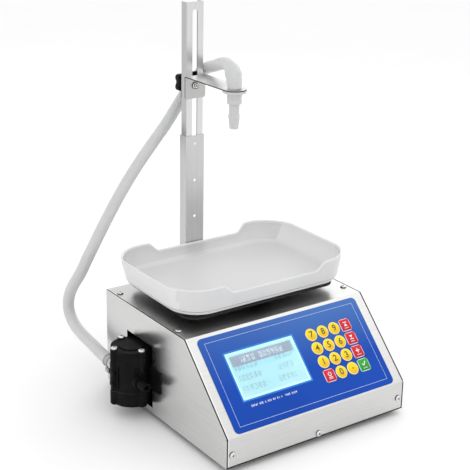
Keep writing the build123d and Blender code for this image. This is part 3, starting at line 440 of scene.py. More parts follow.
# Small print as rows of made-up strokes: cells of random dots, parted by gaps.
strokes, given, gives = empty_group(
    "made_up_print",
    [("Across", "Float", 0.0), ("Up", "Float", 0.0), ("Dot", "Float", 0.0006), ("Letter", "Float", 0.0036),
     ("Seed", "Float", 3.0)],
    [("Ink", "Float")],
)
column = put(strokes, "Math", {0: given["Across"], 1: given["Dot"]}, operation="DIVIDE")
row = put(strokes, "Math", {0: given["Up"], 1: given["Dot"]}, operation="DIVIDE")
column_cell = put(strokes, "Math", {0: column.outputs[0]}, operation="FLOOR")
row_cell = put(strokes, "Math", {0: row.outputs[0]}, operation="FLOOR")
cell = put(strokes, "CombineXYZ", {0: column_cell.outputs[0], 1: row_cell.outputs[0], 2: given["Seed"]})
dots = put(strokes, "TexWhiteNoise", {"Vector": cell.outputs[0]}, noise_dimensions="3D")
dark_dot = put(strokes, "Math", {0: dots.outputs[0], 1: 0.42}, operation="GREATER_THAN")
letter = put(strokes, "Math", {0: given["Across"], 1: given["Letter"]}, operation="DIVIDE")
letter_part = put(strokes, "Math", {0: letter.outputs[0]}, operation="FRACT")
in_letter = put(strokes, "Math", {0: letter_part.outputs[0], 1: 0.78}, operation="LESS_THAN")
letter_cell = put(strokes, "Math", {0: letter.outputs[0]}, operation="FLOOR")
word = put(strokes, "CombineXYZ", {0: letter_cell.outputs[0], 1: 11.0, 2: given["Seed"]})
shown = put(strokes, "TexWhiteNoise", {"Vector": word.outputs[0]}, noise_dimensions="3D")
not_space = put(strokes, "Math", {0: shown.outputs[0], 1: 0.16}, operation="GREATER_THAN")
inked = put(strokes, "Math", {0: dark_dot.outputs[0], 1: in_letter.outputs[0]}, operation="MULTIPLY")
strokes.links.new(
    put(strokes, "Math", {0: inked.outputs[0], 1: not_space.outputs[0]}, operation="MULTIPLY").outputs[0],
    gives["Ink"],
)


def on_slope(tree):
    """The two places on the slope, for a material."""
    spot = put(tree, "Group", {"Place": put(tree, "TexCoord").outputs["Object"]}, node_tree=slope_place)
    return spot.outputs["Across"], spot.outputs["Up The Slope"]


def boxed(tree, across, up, middle_across, middle_up, half_w, half_h):
    """1 inside a printed rectangle on the slope."""
    return put(tree, "Group", {
        "Across": across, "Up": up, "Middle Across": middle_across, "Middle Up": middle_up,
        "Half Width": half_w, "Half Height": half_h,
    }, node_tree=patch).outputs[0]


def times(tree, one, other):
    """The product of two masks."""
    return put(tree, "Math", {0: one, 1: other}, operation="MULTIPLY").outputs[0]


def minus(tree, one, other):
    """One mask without another."""
    return put(tree, "Math", {0: one, 1: other}, operation="SUBTRACT", use_clamp=True).outputs[0]


screen_middle = (window_low + window_high) / 2
screen_across = screen_middle.x - panel_middle.x
screen_up = (screen_middle - panel_middle).dot(slope_up)
screen_half_w = (window_high.x - window_low.x) / 2
screen_half_h = ((window_high - window_low).yz.length - film_t) / 2

overlay_film, tree, surface = bare_material("panel_film")
across, up = on_slope(tree)
frame_x, frame_y = panel_half_w - 0.0092, panel_half_h - 0.0080
line = 0.0002
frame_line = minus(
    tree,
    boxed(tree, across, up, 0.0, 0.0, frame_x + line, frame_y + line),
    boxed(tree, across, up, 0.0, 0.0, frame_x - line, frame_y - line),
)
caption_up = screen_up - screen_half_h - 0.0095
caption = times(
    tree,
    boxed(tree, across, up, screen_across - 0.011, caption_up, 0.038, 0.0014),
    put(tree, "Group", {"Across": across, "Up": up, "Dot": 0.00045, "Letter": 0.0022, "Seed": 8.0},
        node_tree=strokes).outputs["Ink"],
)
glow = noise(tree, 9.0, 1.0)
glowing = ranged(tree, glow.outputs[0], 0, 1, 0.3, 0.7)
deep_blue = mixed(tree, glowing, (0.0008, 0.048, 0.35, 1), (0.002, 0.060, 0.41, 1))
# The blue turns paler up the slope and towards the right: a painted reflection on the film.
paler = times(
    tree,
    ranged(tree, up, 0, 1, -0.2 * panel_half_h, panel_half_h),
    ranged(tree, across, 0.45, 1, -panel_half_w, 0.4 * panel_half_w),
)
blue = mixed(tree, paler, deep_blue, (0.060, 0.165, 0.46, 1))
lcd_edge = boxed(tree, across, up, screen_across, screen_up, screen_half_w + 0.0022, screen_half_h + 0.0022)
edged = mixed(tree, lcd_edge, blue, (0.030, 0.210, 0.62, 1))
lined = mixed(tree, frame_line, edged, (0.62, 0.70, 0.86, 1))
printed = mixed(tree, caption, lined, (0.70, 0.76, 0.88, 1))
grain = noise(tree, 1800.0, 1.0)
pebbled = put(tree, "Bump", {"Strength": 0.10, "Distance": 0.00002, "Height": grain.outputs[0]})
film = put(tree, "BsdfPrincipled", {
    "Base Color": printed, "Roughness": ranged(tree, glow.outputs[0], 0.26, 0.36),
    "Normal": pebbled.outputs[0], "Specular IOR Level": 0.15,
})
tree.links.new(film.outputs[0], surface)
finish_node("panel_overlay", overlay_film)

# Seam shade strips: near-black strips on the pan's flanges, a painted shade that darkens the gap between the
# cover and each side panel. They run along the lip, slope, top and back.
film_foot = panel_middle - slope_out * film_t / 2
lip_z = film_foot.z - (film_foot.y - cover_low.y)
slope_end_y = film_foot.y + cover_high.z - film_foot.z


def seam_line(x, depth):
    """The housing's outline at a depth under its face, from the lip's foot to the back's foot."""
    corner = math.tan(math.radians(22.5)) * depth
    return [
        Vector((x, y, z)) for y, z in (
            (cover_low.y + depth, cover_low.z), (cover_low.y + depth, lip_z - corner),
            (slope_end_y + corner, cover_high.z - depth), (cover_high.y - depth, cover_high.z - depth),
            (cover_high.y - depth, cover_low.z),
        )
    ]


seam_shade_black = rubber("seam_painted_shade", (0.006, 0.006, 0.006), 0.8)
wall_in = 0.0012
shade_top, shade_bottom = 0.0004, 0.00115
strips = []
for wall_x, cover_x in ((pan_low.x + wall_in, cover_low.x), (cover_high.x, pan_high.x - wall_in)):
    corners = [
        seam_line(wall_x, shade_top), seam_line(cover_x, shade_top),
        seam_line(cover_x, shade_bottom), seam_line(wall_x, shade_bottom),
    ]
    strips.append(skin([list(section) for section in zip(*corners)]))
seam_shade_strips = piece("seam_shade_strips", joined(strips), seam_shade_black)
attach(seam_shade_strips, "root")

# Display: a backlit character screen behind a clear window let into the film. The screen
# shows a grey title bar and three rows of made-up characters on pale cyan.
window_glass, tree, surface = bare_material("window_glass")
smear = noise(tree, 30.0, 3.0)
clear = put(tree, "BsdfPrincipled", {
    "Base Color": (0.96, 0.99, 1.0, 1), "Roughness": ranged(tree, smear.outputs[0], 0.02, 0.09),
    "Transmission Weight": 1.0, "IOR": 1.3,
})
tree.links.new(clear.outputs[0], surface)
finish_node("display_window", window_glass)

screen_glass, tree, surface = bare_material("screen_glass")
across, up = on_slope(tree)
ink = put(tree, "Group", {"Across": across, "Up": up, "Dot": 0.0011, "Letter": 0.0066, "Seed": 2.0},
          node_tree=strokes).outputs["Ink"]
title_up = screen_up + screen_half_h - 0.0125
title = boxed(tree, across, up, screen_across, title_up, screen_half_w - 0.0055, 0.0072)
title_ink = times(tree, ink, boxed(tree, across, up, screen_across, title_up, screen_half_w - 0.021, 0.0044))
rows = 0.0
for row_number in range(3):
    row_up = screen_up + 0.0115 - 0.0152 * row_number
    for start, half in ((screen_across - 0.029, 0.020), (screen_across + 0.031 - 0.004 * row_number, 0.014)):
        mask = boxed(tree, across, up, start, row_up, half, 0.0044)
        both = put(tree, "Math", {0: rows, 1: mask}, operation="ADD", use_clamp=True)
        rows = both.outputs[0]
row_ink = times(tree, ink, rows)
backlight = noise(tree, 14.0, 1.0)
uneven_light = ranged(tree, backlight.outputs[0], 0, 1, 0.3, 0.7)
cyan = mixed(tree, uneven_light, (0.42, 0.70, 0.76, 1), (0.50, 0.76, 0.80, 1))
border = minus(
    tree,
    boxed(tree, across, up, screen_across, screen_up, screen_half_w, screen_half_h),
    boxed(tree, across, up, screen_across, screen_up, screen_half_w - 0.0030, screen_half_h - 0.0030),
)
bordered = mixed(tree, border, cyan, (0.62, 0.86, 0.90, 1))
barred = mixed(tree, title, bordered, (0.36, 0.41, 0.50, 1))
titled = mixed(tree, times(tree, title_ink, 0.7), barred, (0.72, 0.82, 0.86, 1))
lettered = mixed(tree, times(tree, row_ink, 0.5), titled, (0.24, 0.36, 0.42, 1))
lit = put(tree, "BsdfPrincipled", {
    "Base Color": lettered, "Roughness": 0.3, "Emission Color": lettered, "Emission Strength": 0.42,
})
tree.links.new(lit.outputs[0], surface)
finish_node("lcd_glass", screen_glass)

# Keys: embossed film domes, round and yellow for digits, square red or green for commands,
# each with a paler printed rim. The marks are printed on: digits, and plain signs.


def key_outline(round_key, span, turn):
    """How far a key's outline is from its middle, in one direction."""
    if round_key:
        return span
    c, s = abs(math.cos(turn)), abs(math.sin(turn))
    return span * (c ** 6 + s ** 6) ** (-1 / 6)


def dome(place, round_key, half, low, high, sides=48):
    """A pressed dome on the slope: straight sides up to its rim, then a pillowed top."""
    right = Vector((1, 0, 0))
    rows = []
    for share, height in (
        (0.96, low), (1.0, low + 0.0004), (1.0, high - 0.0006), (0.975, high - 0.00022),
        (0.93, high - 0.00005), (0.86, high - 0.00012), (0.80, high - 0.00002), (0.6, high + 0.00012),
        (0.35, high + 0.00022), (0.1, high + 0.00025),
    ):
        row = []
        for i in range(sides):
            turn = 2 * math.pi * i / sides
            out = right * math.cos(turn) + slope_up * math.sin(turn)
            row.append(place + slope_out * height + out * key_outline(round_key, half * share, turn))
        rows.append(row)
    return skin(rows)


# Colour by how far a place is from the key's middle, as the keys stand on one grid.
first_low, first_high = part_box("key_7")
last_low, last_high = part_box("key_green")
first_key = (first_low + first_high) / 2
last_key = (last_low + last_high) / 2
pitch_across = (last_key.x - first_key.x) / 3
pitch_up = (last_key - first_key).dot(slope_up) / 3
key_rim = 0.0007
key_half = (first_high.x - first_low.x) / 2 - key_rim

key_spread, given, gives = empty_group(
    "place_on_key",
    [("Across", "Float", 0.0), ("Up", "Float", 0.0), ("First Across", "Float", first_key.x - panel_middle.x),
     ("First Up", "Float", (first_key - panel_middle).dot(slope_up)), ("Pitch Across", "Float", pitch_across),
     ("Pitch Up", "Float", pitch_up)],
    [("Round Reach", "Float"), ("Square Reach", "Float"), ("Low Side", "Float")],
)
near = []
for label, first, pitch in (("Across", "First Across", "Pitch Across"), ("Up", "First Up", "Pitch Up")):
    off = put(key_spread, "Math", {0: given[label], 1: given[first]}, operation="SUBTRACT")
    steps = put(key_spread, "Math", {0: off.outputs[0], 1: given[pitch]}, operation="DIVIDE")
    shifted = put(key_spread, "Math", {0: steps.outputs[0], 1: 0.5}, operation="ADD")
    part = put(key_spread, "Math", {0: shifted.outputs[0], 1: shifted.outputs[0]}, operation="FLOOR")
    left = put(key_spread, "Math", {0: shifted.outputs[0], 1: part.outputs[0]}, operation="SUBTRACT")
    centred = put(key_spread, "Math", {0: left.outputs[0], 1: 0.5}, operation="SUBTRACT")
    scaled = put(key_spread, "Math", {0: centred.outputs[0], 1: given[pitch]}, operation="MULTIPLY")
    near.append(scaled.outputs[0])
spot = put(key_spread, "CombineXYZ", {0: near[0], 1: near[1]})
round_reach = put(key_spread, "VectorMath", {0: spot.outputs[0]}, operation="LENGTH")
square_sides = [put(key_spread, "Math", {0: side}, operation="ABSOLUTE").outputs[0] for side in near]
square_reach = put(key_spread, "Math", {0: square_sides[0], 1: square_sides[1]}, operation="MAXIMUM")
key_spread.links.new(round_reach.outputs["Value"], gives["Round Reach"])
key_spread.links.new(square_reach.outputs[0], gives["Square Reach"])
key_spread.links.new(near[1], gives["Low Side"])


def key_film(name, colour, deep, rim, round_key):
    """Printed key film: a paler rim, and a colour deepened towards the lower side as painted shade."""
    made, tree, surface = bare_material(name)
    across, up = on_slope(tree)
    key = put(tree, "Group", {"Across": across, "Up": up}, node_tree=key_spread)
    reach = key.outputs["Round Reach" if round_key else "Square Reach"]
    painted_low_shade = ranged(tree, key.outputs["Low Side"], 1, 0, -key_half, 0.4 * key_half)
    body = mixed(tree, painted_low_shade, (*colour, 1), (*deep, 1))
    edge = ranged(tree, reach, 0, 1, key_half - 0.0013, key_half - 0.0009)
    rimmed = mixed(tree, edge, body, (*rim, 1))
    grain = noise(tree, 1500.0, 1.0)
    bump = put(tree, "Bump", {"Strength": 0.08, "Distance": 0.00002, "Height": grain.outputs[0]})
    pressed = put(tree, "BsdfPrincipled", {
        "Base Color": rimmed, "Roughness": ranged(tree, grain.outputs[0], 0.28, 0.40),
        "Normal": bump.outputs[0], "Specular IOR Level": 0.3,
    })
    tree.links.new(pressed.outputs[0], surface)
    return made


digit_film = key_film("key_yellow", (0.86, 0.66, 0.004), (0.78, 0.38, 0.002), (0.90, 0.80, 0.30), True)
red_film = key_film("key_red", (0.62, 0.010, 0.028), (0.42, 0.003, 0.012), (0.86, 0.55, 0.60), False)
green_film = key_film("key_green", (0.02, 0.36, 0.03), (0.004, 0.22, 0.015), (0.55, 0.78, 0.55), False)


def print_ink(name, colour):
    """Screen printing ink, a little uneven."""
    made, tree, surface = bare_material(name)
    uneven = noise(tree, 900.0, 2.0)
    tone = mixed(tree, uneven.outputs[0], (*colour, 1), (*(0.8 * c + 0.03 for c in colour), 1))
    inked = put(tree, "BsdfPrincipled", {"Base Color": tone, "Roughness": 0.35})
    tree.links.new(inked.outputs[0], surface)
    return made


dark_ink = print_ink("digit_ink", (0.055, 0.045, 0.008))
white_ink = print_ink("sign_ink", (0.90, 0.90, 0.92))


def flat_shape(points, place, thickness=0.00008):
    """A thin printed shape on the slope, from (across, up) pairs round its outline."""
    right = Vector((1, 0, 0))
    rows = [
        [place + right * x + slope_up * y + slope_out * height for x, y in points]
        for height in (0, thickness)
    ]
    return skin(rows)


def bar(x0, y0, x1, y1, half):
    """The outline of a straight stroke between two points."""
    dx, dy = x1 - x0, y1 - y0
    reach = math.hypot(dx, dy)
    nx, ny = -dy / reach * half, dx / reach * half
    return [(x0 + nx, y0 + ny), (x1 + nx, y1 + ny), (x1 - nx, y1 - ny), (x0 - nx, y0 - ny)]


def hoop(x, y, radius, half, start, end):
    """The outline of a curved stroke, as a few straight ones."""
    count = 14
    turns = [math.radians(start + (end - start) * i / count) for i in range(count + 1)]
    outer = [(x + (radius + half) * math.cos(t), y + (radius + half) * math.sin(t)) for t in turns]
    inner = [(x + (radius - half) * math.cos(t), y + (radius - half) * math.sin(t)) for t in reversed(turns)]
    return outer + inner


sign = 0.001
signs = {
    "red_a": [bar(-3 * sign, 2.4 * sign, 3 * sign, 2.4 * sign, 0.6 * sign),
              [(-2.6 * sign, -3.2 * sign), (2.6 * sign, -3.2 * sign), (0, 1.0 * sign)]],
    "red_b": [bar(-3 * sign, -2.6 * sign, 3 * sign, -2.6 * sign, 0.6 * sign),
              [(-2.6 * sign, 3.0 * sign), (0, -1.2 * sign), (2.6 * sign, 3.0 * sign)]],
    "red_c": [bar(-3.2 * sign, 0, 3.2 * sign, 0, 0.7 * sign), bar(0, 0.8 * sign, 0, 3.4 * sign, 0.7 * sign),
              bar(0, -3.4 * sign, 0, -0.8 * sign, 0.7 * sign)],
    "red_d": [hoop(0, 0.6 * sign, 2.5 * sign, 0.5 * sign, 125, 415),
              bar(0, 1.6 * sign, 0, 4.2 * sign, 0.5 * sign),
              bar(-3 * sign, -4.0 * sign, 3 * sign, -4.0 * sign, 0.5 * sign)],
    "green": [bar(-3.0 * sign, 0.4 * sign, -0.7 * sign, -2.4 * sign, 0.7 * sign),
              bar(-1.1 * sign, -2.5 * sign, 3.3 * sign, 3.2 * sign, 0.7 * sign)],
}
for name in sorted(n for n in nodes if n.startswith("key_") and n != "keypad_board"):
    short = name[4:]
    low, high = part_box(name)
    middle = (low + high) / 2
    is_round = not short.startswith(("red", "green"))
    top = max((vertex.co - middle).dot(slope_out) for vertex in nodes[name].data.vertices)
    bottom = min((vertex.co - middle).dot(slope_out) for vertex in nodes[name].data.vertices)
    film = digit_film if is_round else green_film if short == "green" else red_film
    cap = piece(name + "_dome", dome(middle, is_round, key_half, bottom, top - 0.00025), film, 50)
    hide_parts(name)
    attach(cap, "body_" + name)
    print_place = middle + slope_out * (top - 0.00003)
    if short.isdigit():
        text = bpy.data.curves.new("digit_" + short, "FONT")
        text.body = short
        text.size = 0.0125
        text.align_x = "CENTER"
        text.align_y = "CENTER"
        text.extrude = 0.00006
        text.offset = 0.00022
        glyph = bpy.data.objects.new("digit_curve", text)
        bpy.context.scene.collection.objects.link(glyph)
        outlined = glyph.evaluated_get(bpy.context.evaluated_depsgraph_get())
        made = bmesh.new()
        made.from_mesh(bpy.data.meshes.new_from_object(outlined))
        bpy.data.objects.remove(glyph)
        stand = Matrix((
            (1, 0, 0, print_place.x), (0, slope_up.y, slope_out.y, print_place.y),
            (0, slope_up.z, slope_out.z, print_place.z), (0, 0, 0, 1),
        ))
        bmesh.ops.transform(made, verts=made.verts, matrix=stand)
        mark = piece("digit_" + short, made, dark_ink)
    elif short == "dot":
        dot_r = 0.0011
        turns = [t * math.pi / 8 for t in range(16)]
        outline = [(dot_r * math.cos(turn), dot_r * math.sin(turn)) for turn in turns]
        mark = piece("digit_dot", flat_shape(outline, print_place), dark_ink)
    else:
        lifted = print_place + slope_up * 1.3 * sign
        drawn = [flat_shape(points, lifted) for points in signs[short]]
        for step in range(5):
            foot_x = (step - 2) * 1.5 * sign + random.uniform(-0.2, 0.2) * sign
            drawn.append(flat_shape(bar(foot_x, -5.4 * sign, foot_x, -4.0 * sign, 0.38 * sign), print_place))
        mark = piece("sign_" + short, joined(drawn), white_ink)
    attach(mark, "body_" + name)

# Boards: green laminate with copper tracks under the solder mask. The keypad's board, the
# display's module and the controller are alike.
board_green, tree, surface = bare_material("board_green")
place = put(tree, "TexCoord").outputs["Object"]
tracks = put(tree, "TexBrick", {
    "Vector": put(tree, "Mapping", {"Vector": place, "Rotation": (0.8, 0.3, 0.7)}).outputs[0],
    "Scale": 160.0, "Mortar Size": 0.09, "Color1": (0.004, 0.10, 0.035, 1), "Color2": (0.006, 0.14, 0.05, 1),
    "Mortar": (0.03, 0.26, 0.09, 1),
})
laminate = put(tree, "BsdfPrincipled", {
    "Base Color": tracks.outputs[0], "Roughness": 0.35, "Coat Weight": 0.4,
})
tree.links.new(laminate.outputs[0], surface)
for name in ("keypad_board", "lcd_module", "control_board"):
    finish_node(name, board_green)

# Tray: a white, slightly translucent moulded pan. Its two ends stand higher than its long
# sides, its lip is rounded, and a small step runs round it just above the floor.
tray_low, tray_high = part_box("tray")
tray_middle = (tray_low + tray_high) / 2
tray_end_h = tray_high.z - tray_low.z
tray_side_h = 0.025
tray_wall = 0.0024
tray_floor = 0.003
tray_flat_half = 0.066
tray_flat_x = 0.005
tray_ramp = 0.014


def milky_plastic(name, colour, rough, depth, clear=0.0, relief=0.06):
    """Milky moulded plastic or silicone: light goes a little way in, and the skin is faintly uneven."""
    made, tree, surface = bare_material(name)
    place = put(tree, "TexCoord").outputs["Object"]
    skin_grain = put(tree, "TexNoise", {"Vector": place, "Scale": 700.0, "Detail": 2.0})
    flow = put(tree, "TexNoise", {"Vector": place, "Scale": 16.0, "Detail": 3.0})
    flowing = ranged(tree, flow.outputs[0], 0, 1, 0.35, 0.65)
    tone = mixed(tree, flowing, (*(0.94 * c for c in colour), 1), (*colour, 1))
    bump = put(tree, "Bump", {"Strength": relief, "Distance": 0.00005, "Height": skin_grain.outputs[0]})
    milky = put(tree, "BsdfPrincipled", {
        "Base Color": tone, "Roughness": ranged(tree, flow.outputs[0], rough - 0.05, rough + 0.06),
        "Normal": bump.outputs[0], "Subsurface Weight": 0.6, "Subsurface Radius": (1.0, 1.0, 1.0),
        "Subsurface Scale": depth, "Transmission Weight": clear,
    })
    tree.links.new(milky.outputs[0], surface)
    return made


def rounded_box(half_w, half_d, corner, count=160):
    """Points round a rectangle with round corners, evenly spread, from the right side on."""
    marks = []
    for turn, (cx, cy) in enumerate(((1, 1), (-1, 1), (-1, -1), (1, -1))):
        for i in range(count // 4 // 2 + 1):
            angle = (turn + i / (count // 4 // 2)) * math.pi / 2
            marks.append((
                cx * (half_w - corner) + corner * math.cos(angle),
                cy * (half_d - corner) + corner * math.sin(angle),
            ))
    outline = []
    for i, (x0, y0) in enumerate(marks):
        x1, y1 = marks[(i + 1) % len(marks)]
        parts = max(1, round(math.hypot(x1 - x0, y1 - y0) / 0.004))
        outline += [(x0 + (x1 - x0) * k / parts, y0 + (y1 - y0) * k / parts) for k in range(parts)]
    return outline


rim_half = ((tray_high.x - tray_low.x) / 2, (tray_high.y - tray_low.y) / 2)
foot_half = (rim_half[0] - 0.0105, rim_half[1] - 0.005)
foot_corner = 0.044
foot_outline = rounded_box(*foot_half, foot_corner)


def tray_wall_point(spot, height, inset):
    """A place in the tray's wall: over a spot of its foot, at a height, and set in from the outer face."""
    x, y = spot
    grown = height / tray_end_h
    cx = max(-(foot_half[0] - foot_corner), min(foot_half[0] - foot_corner, x))
    cy = max(-(foot_half[1] - foot_corner), min(foot_half[1] - foot_corner, y))
    out = Vector((x - cx, y - cy))
    out = out.normalized() if out.length > 1e-9 else Vector((0, 0))
    spread_x = (rim_half[0] - foot_half[0]) * grown * abs(x) / foot_half[0] * (1 if x >= 0 else -1)
    spread_y = (rim_half[1] - foot_half[1]) * grown * abs(y) / foot_half[1] * (1 if y >= 0 else -1)
    corner_pull = 1 - 0.022 * grown * min(1.0, abs(out.x * out.y) * 2)
    return Vector((
        tray_middle.x + (x + spread_x) * corner_pull - out.x * inset,
        tray_middle.y + (y + spread_y) * corner_pull - out.y * inset,
        tray_low.z + height,
    ))


def tray_top(x):
    """How high the tray's lip stands at a distance from its middle."""
    share = max(0.0, min(1.0, (abs(x - tray_flat_x) - tray_flat_half) / tray_ramp))
    share = share * share * (3 - 2 * share)
    return tray_side_h + (tray_end_h - tray_side_h) * share


step_h = 0.0056
bead = 0.0031
tray_rows = []
for share, height, inset in (
    (0.0, 0.0, 0.030), (0.0, 0.0, 0.0045), (0.0, 0.0006, 0.0022), (0.0, 0.0020, 0.0016),
    (0.0, step_h - 0.0014, 0.0012), (0.0, step_h - 0.0009, 0.0030), (0.0, step_h + 0.0001, 0.0030),
    (0.0, step_h + 0.0005, 0.0), (0.5, 0.0, 0.0), (1.0, -0.0016, 0.0), (1.0, -0.0004, 0.0004),
    (1.0, 0.0, bead / 2), (1.0, -0.0004, bead - 0.0004), (1.0, -0.0016, bead), (1.0, -0.0030, bead),
    (1.0, -0.0040, tray_wall), (0.5, 0.0, tray_wall),
    (0.0, tray_floor + 0.006, tray_wall), (0.0, tray_floor + 0.0026, tray_wall + 0.0012),
    (0.0, tray_floor + 0.0008, tray_wall + 0.0032), (0.0, tray_floor, tray_wall + 0.0066),
    (0.0, tray_floor, 0.034),
):
    points = []
    for spot in foot_outline:
        stand = tray_top(spot[0]) * share + height
        points.append(tray_wall_point(spot, stand, inset))
    tray_rows.append(points)
tray_white = milky_plastic("tray_plastic", (0.585, 0.585, 0.585), 0.34, 0.009)
# Faces that look up or down are painted paler than the walls: painted light on the tray's floor and lip.
retoned(tray_white, facing(tray_white.node_tree, 2, 0.2), (0.635, 0.635, 0.635))
tray_pan = piece("tray_pan", skin(tray_rows), tray_white, 60)
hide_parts("tray")
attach(tray_pan, "tray")

# Platform and load cell: a cast plate under the tray, painted near-black as a painted shade beneath the tray,
# on a milled aluminium beam that is bolted to a block on the pan's floor.


def milled_aluminium(name, colour, rough):
    """Milled aluminium with cutter marks across it."""
    made, tree, surface = bare_material(name)
    place = put(tree, "TexCoord").outputs["Object"]
    marks = put(tree, "Group", {"Place": place, "Stretch": (60, 700, 60)}, node_tree=brushing)
    tone = mixed(tree, marks.outputs["Scratches"], (*(0.8 * c for c in colour), 1), (*colour, 1))
    bump = put(tree, "Bump", {"Strength": 0.15, "Distance": 0.00005, "Height": marks.outputs["Scratches"]})
    metal = put(tree, "BsdfPrincipled", {
        "Base Color": tone, "Metallic": 1.0, "Normal": bump.outputs[0],
        "Roughness": ranged(tree, marks.outputs["Patches"], rough, rough + 0.1),
    })
    tree.links.new(metal.outputs[0], surface)
    return made


aluminium = milled_aluminium("milled_aluminium", (0.62, 0.62, 0.63), 0.36)
for name in ("load_cell", "load_cell_base"):
    finish_node(name, aluminium)
for name in ("load_cell_bolts", "bracket_nuts"):
    finish_node(name, screw_steel)
platform_shade_black, tree, surface = bare_material("platform_painted_shade")
place = put(tree, "TexCoord").outputs["Object"]
peel = put(tree, "TexNoise", {"Vector": place, "Scale": 1100.0, "Detail": 2.0})
dust = put(tree, "TexNoise", {"Vector": place, "Scale": 30.0, "Detail": 4.0})
painted = put(tree, "BsdfPrincipled", {
    "Base Color": mixed(tree, dust.outputs[0], (0.012, 0.012, 0.012, 1), (0.022, 0.022, 0.022, 1)),
    "Roughness": ranged(tree, dust.outputs[0], 0.5, 0.7), "Specular IOR Level": 0.25,
    "Normal": put(tree, "Bump", {"Strength": 0.2, "Distance": 0.00005, "Height": peel.outputs[0]}).outputs[0],
})
tree.links.new(painted.outputs[0], surface)
finish_node("platform", platform_shade_black, 0.0005, 40)

# Post: a short stainless channel screwed to the back, with a row of spare holes, and a
# longer slotted channel nested in it. Both are brushed along their length.
post_steel = brushed_steel(
    "post_steel", (1300, 1300, 12), (0.54, 0.54, 0.54), (0.66, 0.66, 0.655), 0.42, 0.08,
)
finish_node("post_channel", post_steel)
strip_low, strip_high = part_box("slotted_strip")
strip_x = (strip_low.x + strip_high.x) / 2
strip_steel = brushed_steel(
    "strip_steel", (1300, 1300, 12), (0.62, 0.62, 0.62), (0.76, 0.76, 0.755), 0.30, 0.08,
)
tree = strip_steel.node_tree
# The strip's faces that look sideways are painted darker, a painted shade on its flanges, and those within 6
# mm of its middle near-black, a painted shade on the slot's walls.
side_face = facing(tree, 0, 0.7)
retoned(strip_steel, side_face, (0.50, 0.50, 0.50))
slot_side = times(tree, beyond(tree, 0, strip_x - 0.006), beyond(tree, 0, strip_x + 0.006, -1))
retoned(strip_steel, times(tree, side_face, slot_side), (0.06, 0.06, 0.06))
finish_node("slotted_strip", strip_steel)
post_seats = [
    (Vector(((low.x + high.x) / 2, high.y - 0.0024, (low.z + high.z) / 2)), (0, 1, 0), 0.4 * i)
    for i, (low, high) in enumerate(islands("post_screws"))
]
post_head = cross_head(0.0052, 0.0024, 0.002, 0.003)
post_screws = screws("post_screw_heads", post_head, post_seats, screw_steel)
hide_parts("post_screws")
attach(post_screws, "root")

# Nozzle arm: a strip of the same steel, bent down at the post and rounded at its end, with
# its clamp screw, a backing plate behind the slot and a black moulded star knob.
arm_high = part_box("nozzle_arm")[1]
arm_steel = brushed_steel("arm_steel", (1200, 14, 1200), (0.56, 0.56, 0.56), (0.68, 0.68, 0.675), 0.34, 0.08)
finish_node("nozzle_arm", arm_steel)

# Its top is painted paler, a painted highlight, and its faces that look forward or back a little darker, a
# painted shade. Its cut edges are painted near-black, a painted shade: the sides of the flange, and what
# isn't flat along the strip in front of the bend.
tree = arm_steel.node_tree
flat_top = facing(tree, 2, 0.7)
retoned(arm_steel, flat_top, (0.84, 0.84, 0.835))
retoned(arm_steel, facing(tree, 1, 0.7), (0.50, 0.50, 0.495))
cut_edge = times(tree, minus(tree, 1.0, flat_top), beyond(tree, 1, arm_high.y - 0.0022, -1))
retoned(arm_steel, times(tree, cut_edge, beyond(tree, 2, arm_high.z - 0.0016)), (0.04, 0.04, 0.04))
retoned(arm_steel, facing(tree, 0, 0.7), (0.04, 0.04, 0.04))
clamp_low, clamp_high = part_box("clamp_screw")
clamp_middle = (clamp_low + clamp_high) / 2
clamp_seat = Vector((clamp_middle.x, clamp_low.y + 0.0036, clamp_middle.z))
clamp_head = cross_head(0.0054, 0.0036, 0.0025, clamp_high.y - clamp_seat.y, 0.7)
clamp_screw = screws("clamp_screw_head", clamp_head, [(clamp_seat, (0, -1, 0), 0.5)], screw_steel)
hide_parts("clamp_screw")
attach(clamp_screw, "arm")


def black_plastic(name, colour, rough, grain=900.0, relief=0.18):
    """Black moulded plastic with a fine spark-eroded texture and a faint sheen where handled."""
    made, tree, surface = bare_material(name)
    place = put(tree, "TexCoord").outputs["Object"]
    texture = put(tree, "TexNoise", {"Vector": place, "Scale": grain, "Detail": 3.0, "Roughness": 0.6})
    worn = put(tree, "TexNoise", {"Vector": place, "Scale": 45.0, "Detail": 3.0})
    wear = ranged(tree, worn.outputs[0], 0, 1, 0.45, 0.75)
    tone = mixed(tree, wear, (*colour, 1), (*(c * 1.6 + 0.001 for c in colour), 1))
    bump = put(tree, "Bump", {"Strength": relief, "Distance": 0.00006, "Height": texture.outputs[0]})
    moulded = put(tree, "BsdfPrincipled", {
        "Base Color": tone, "Roughness": ranged(tree, wear, rough + 0.06, rough - 0.06),
        "Normal": bump.outputs[0], "Specular IOR Level": 0.07,
    })
    tree.links.new(moulded.outputs[0], surface)
    return made


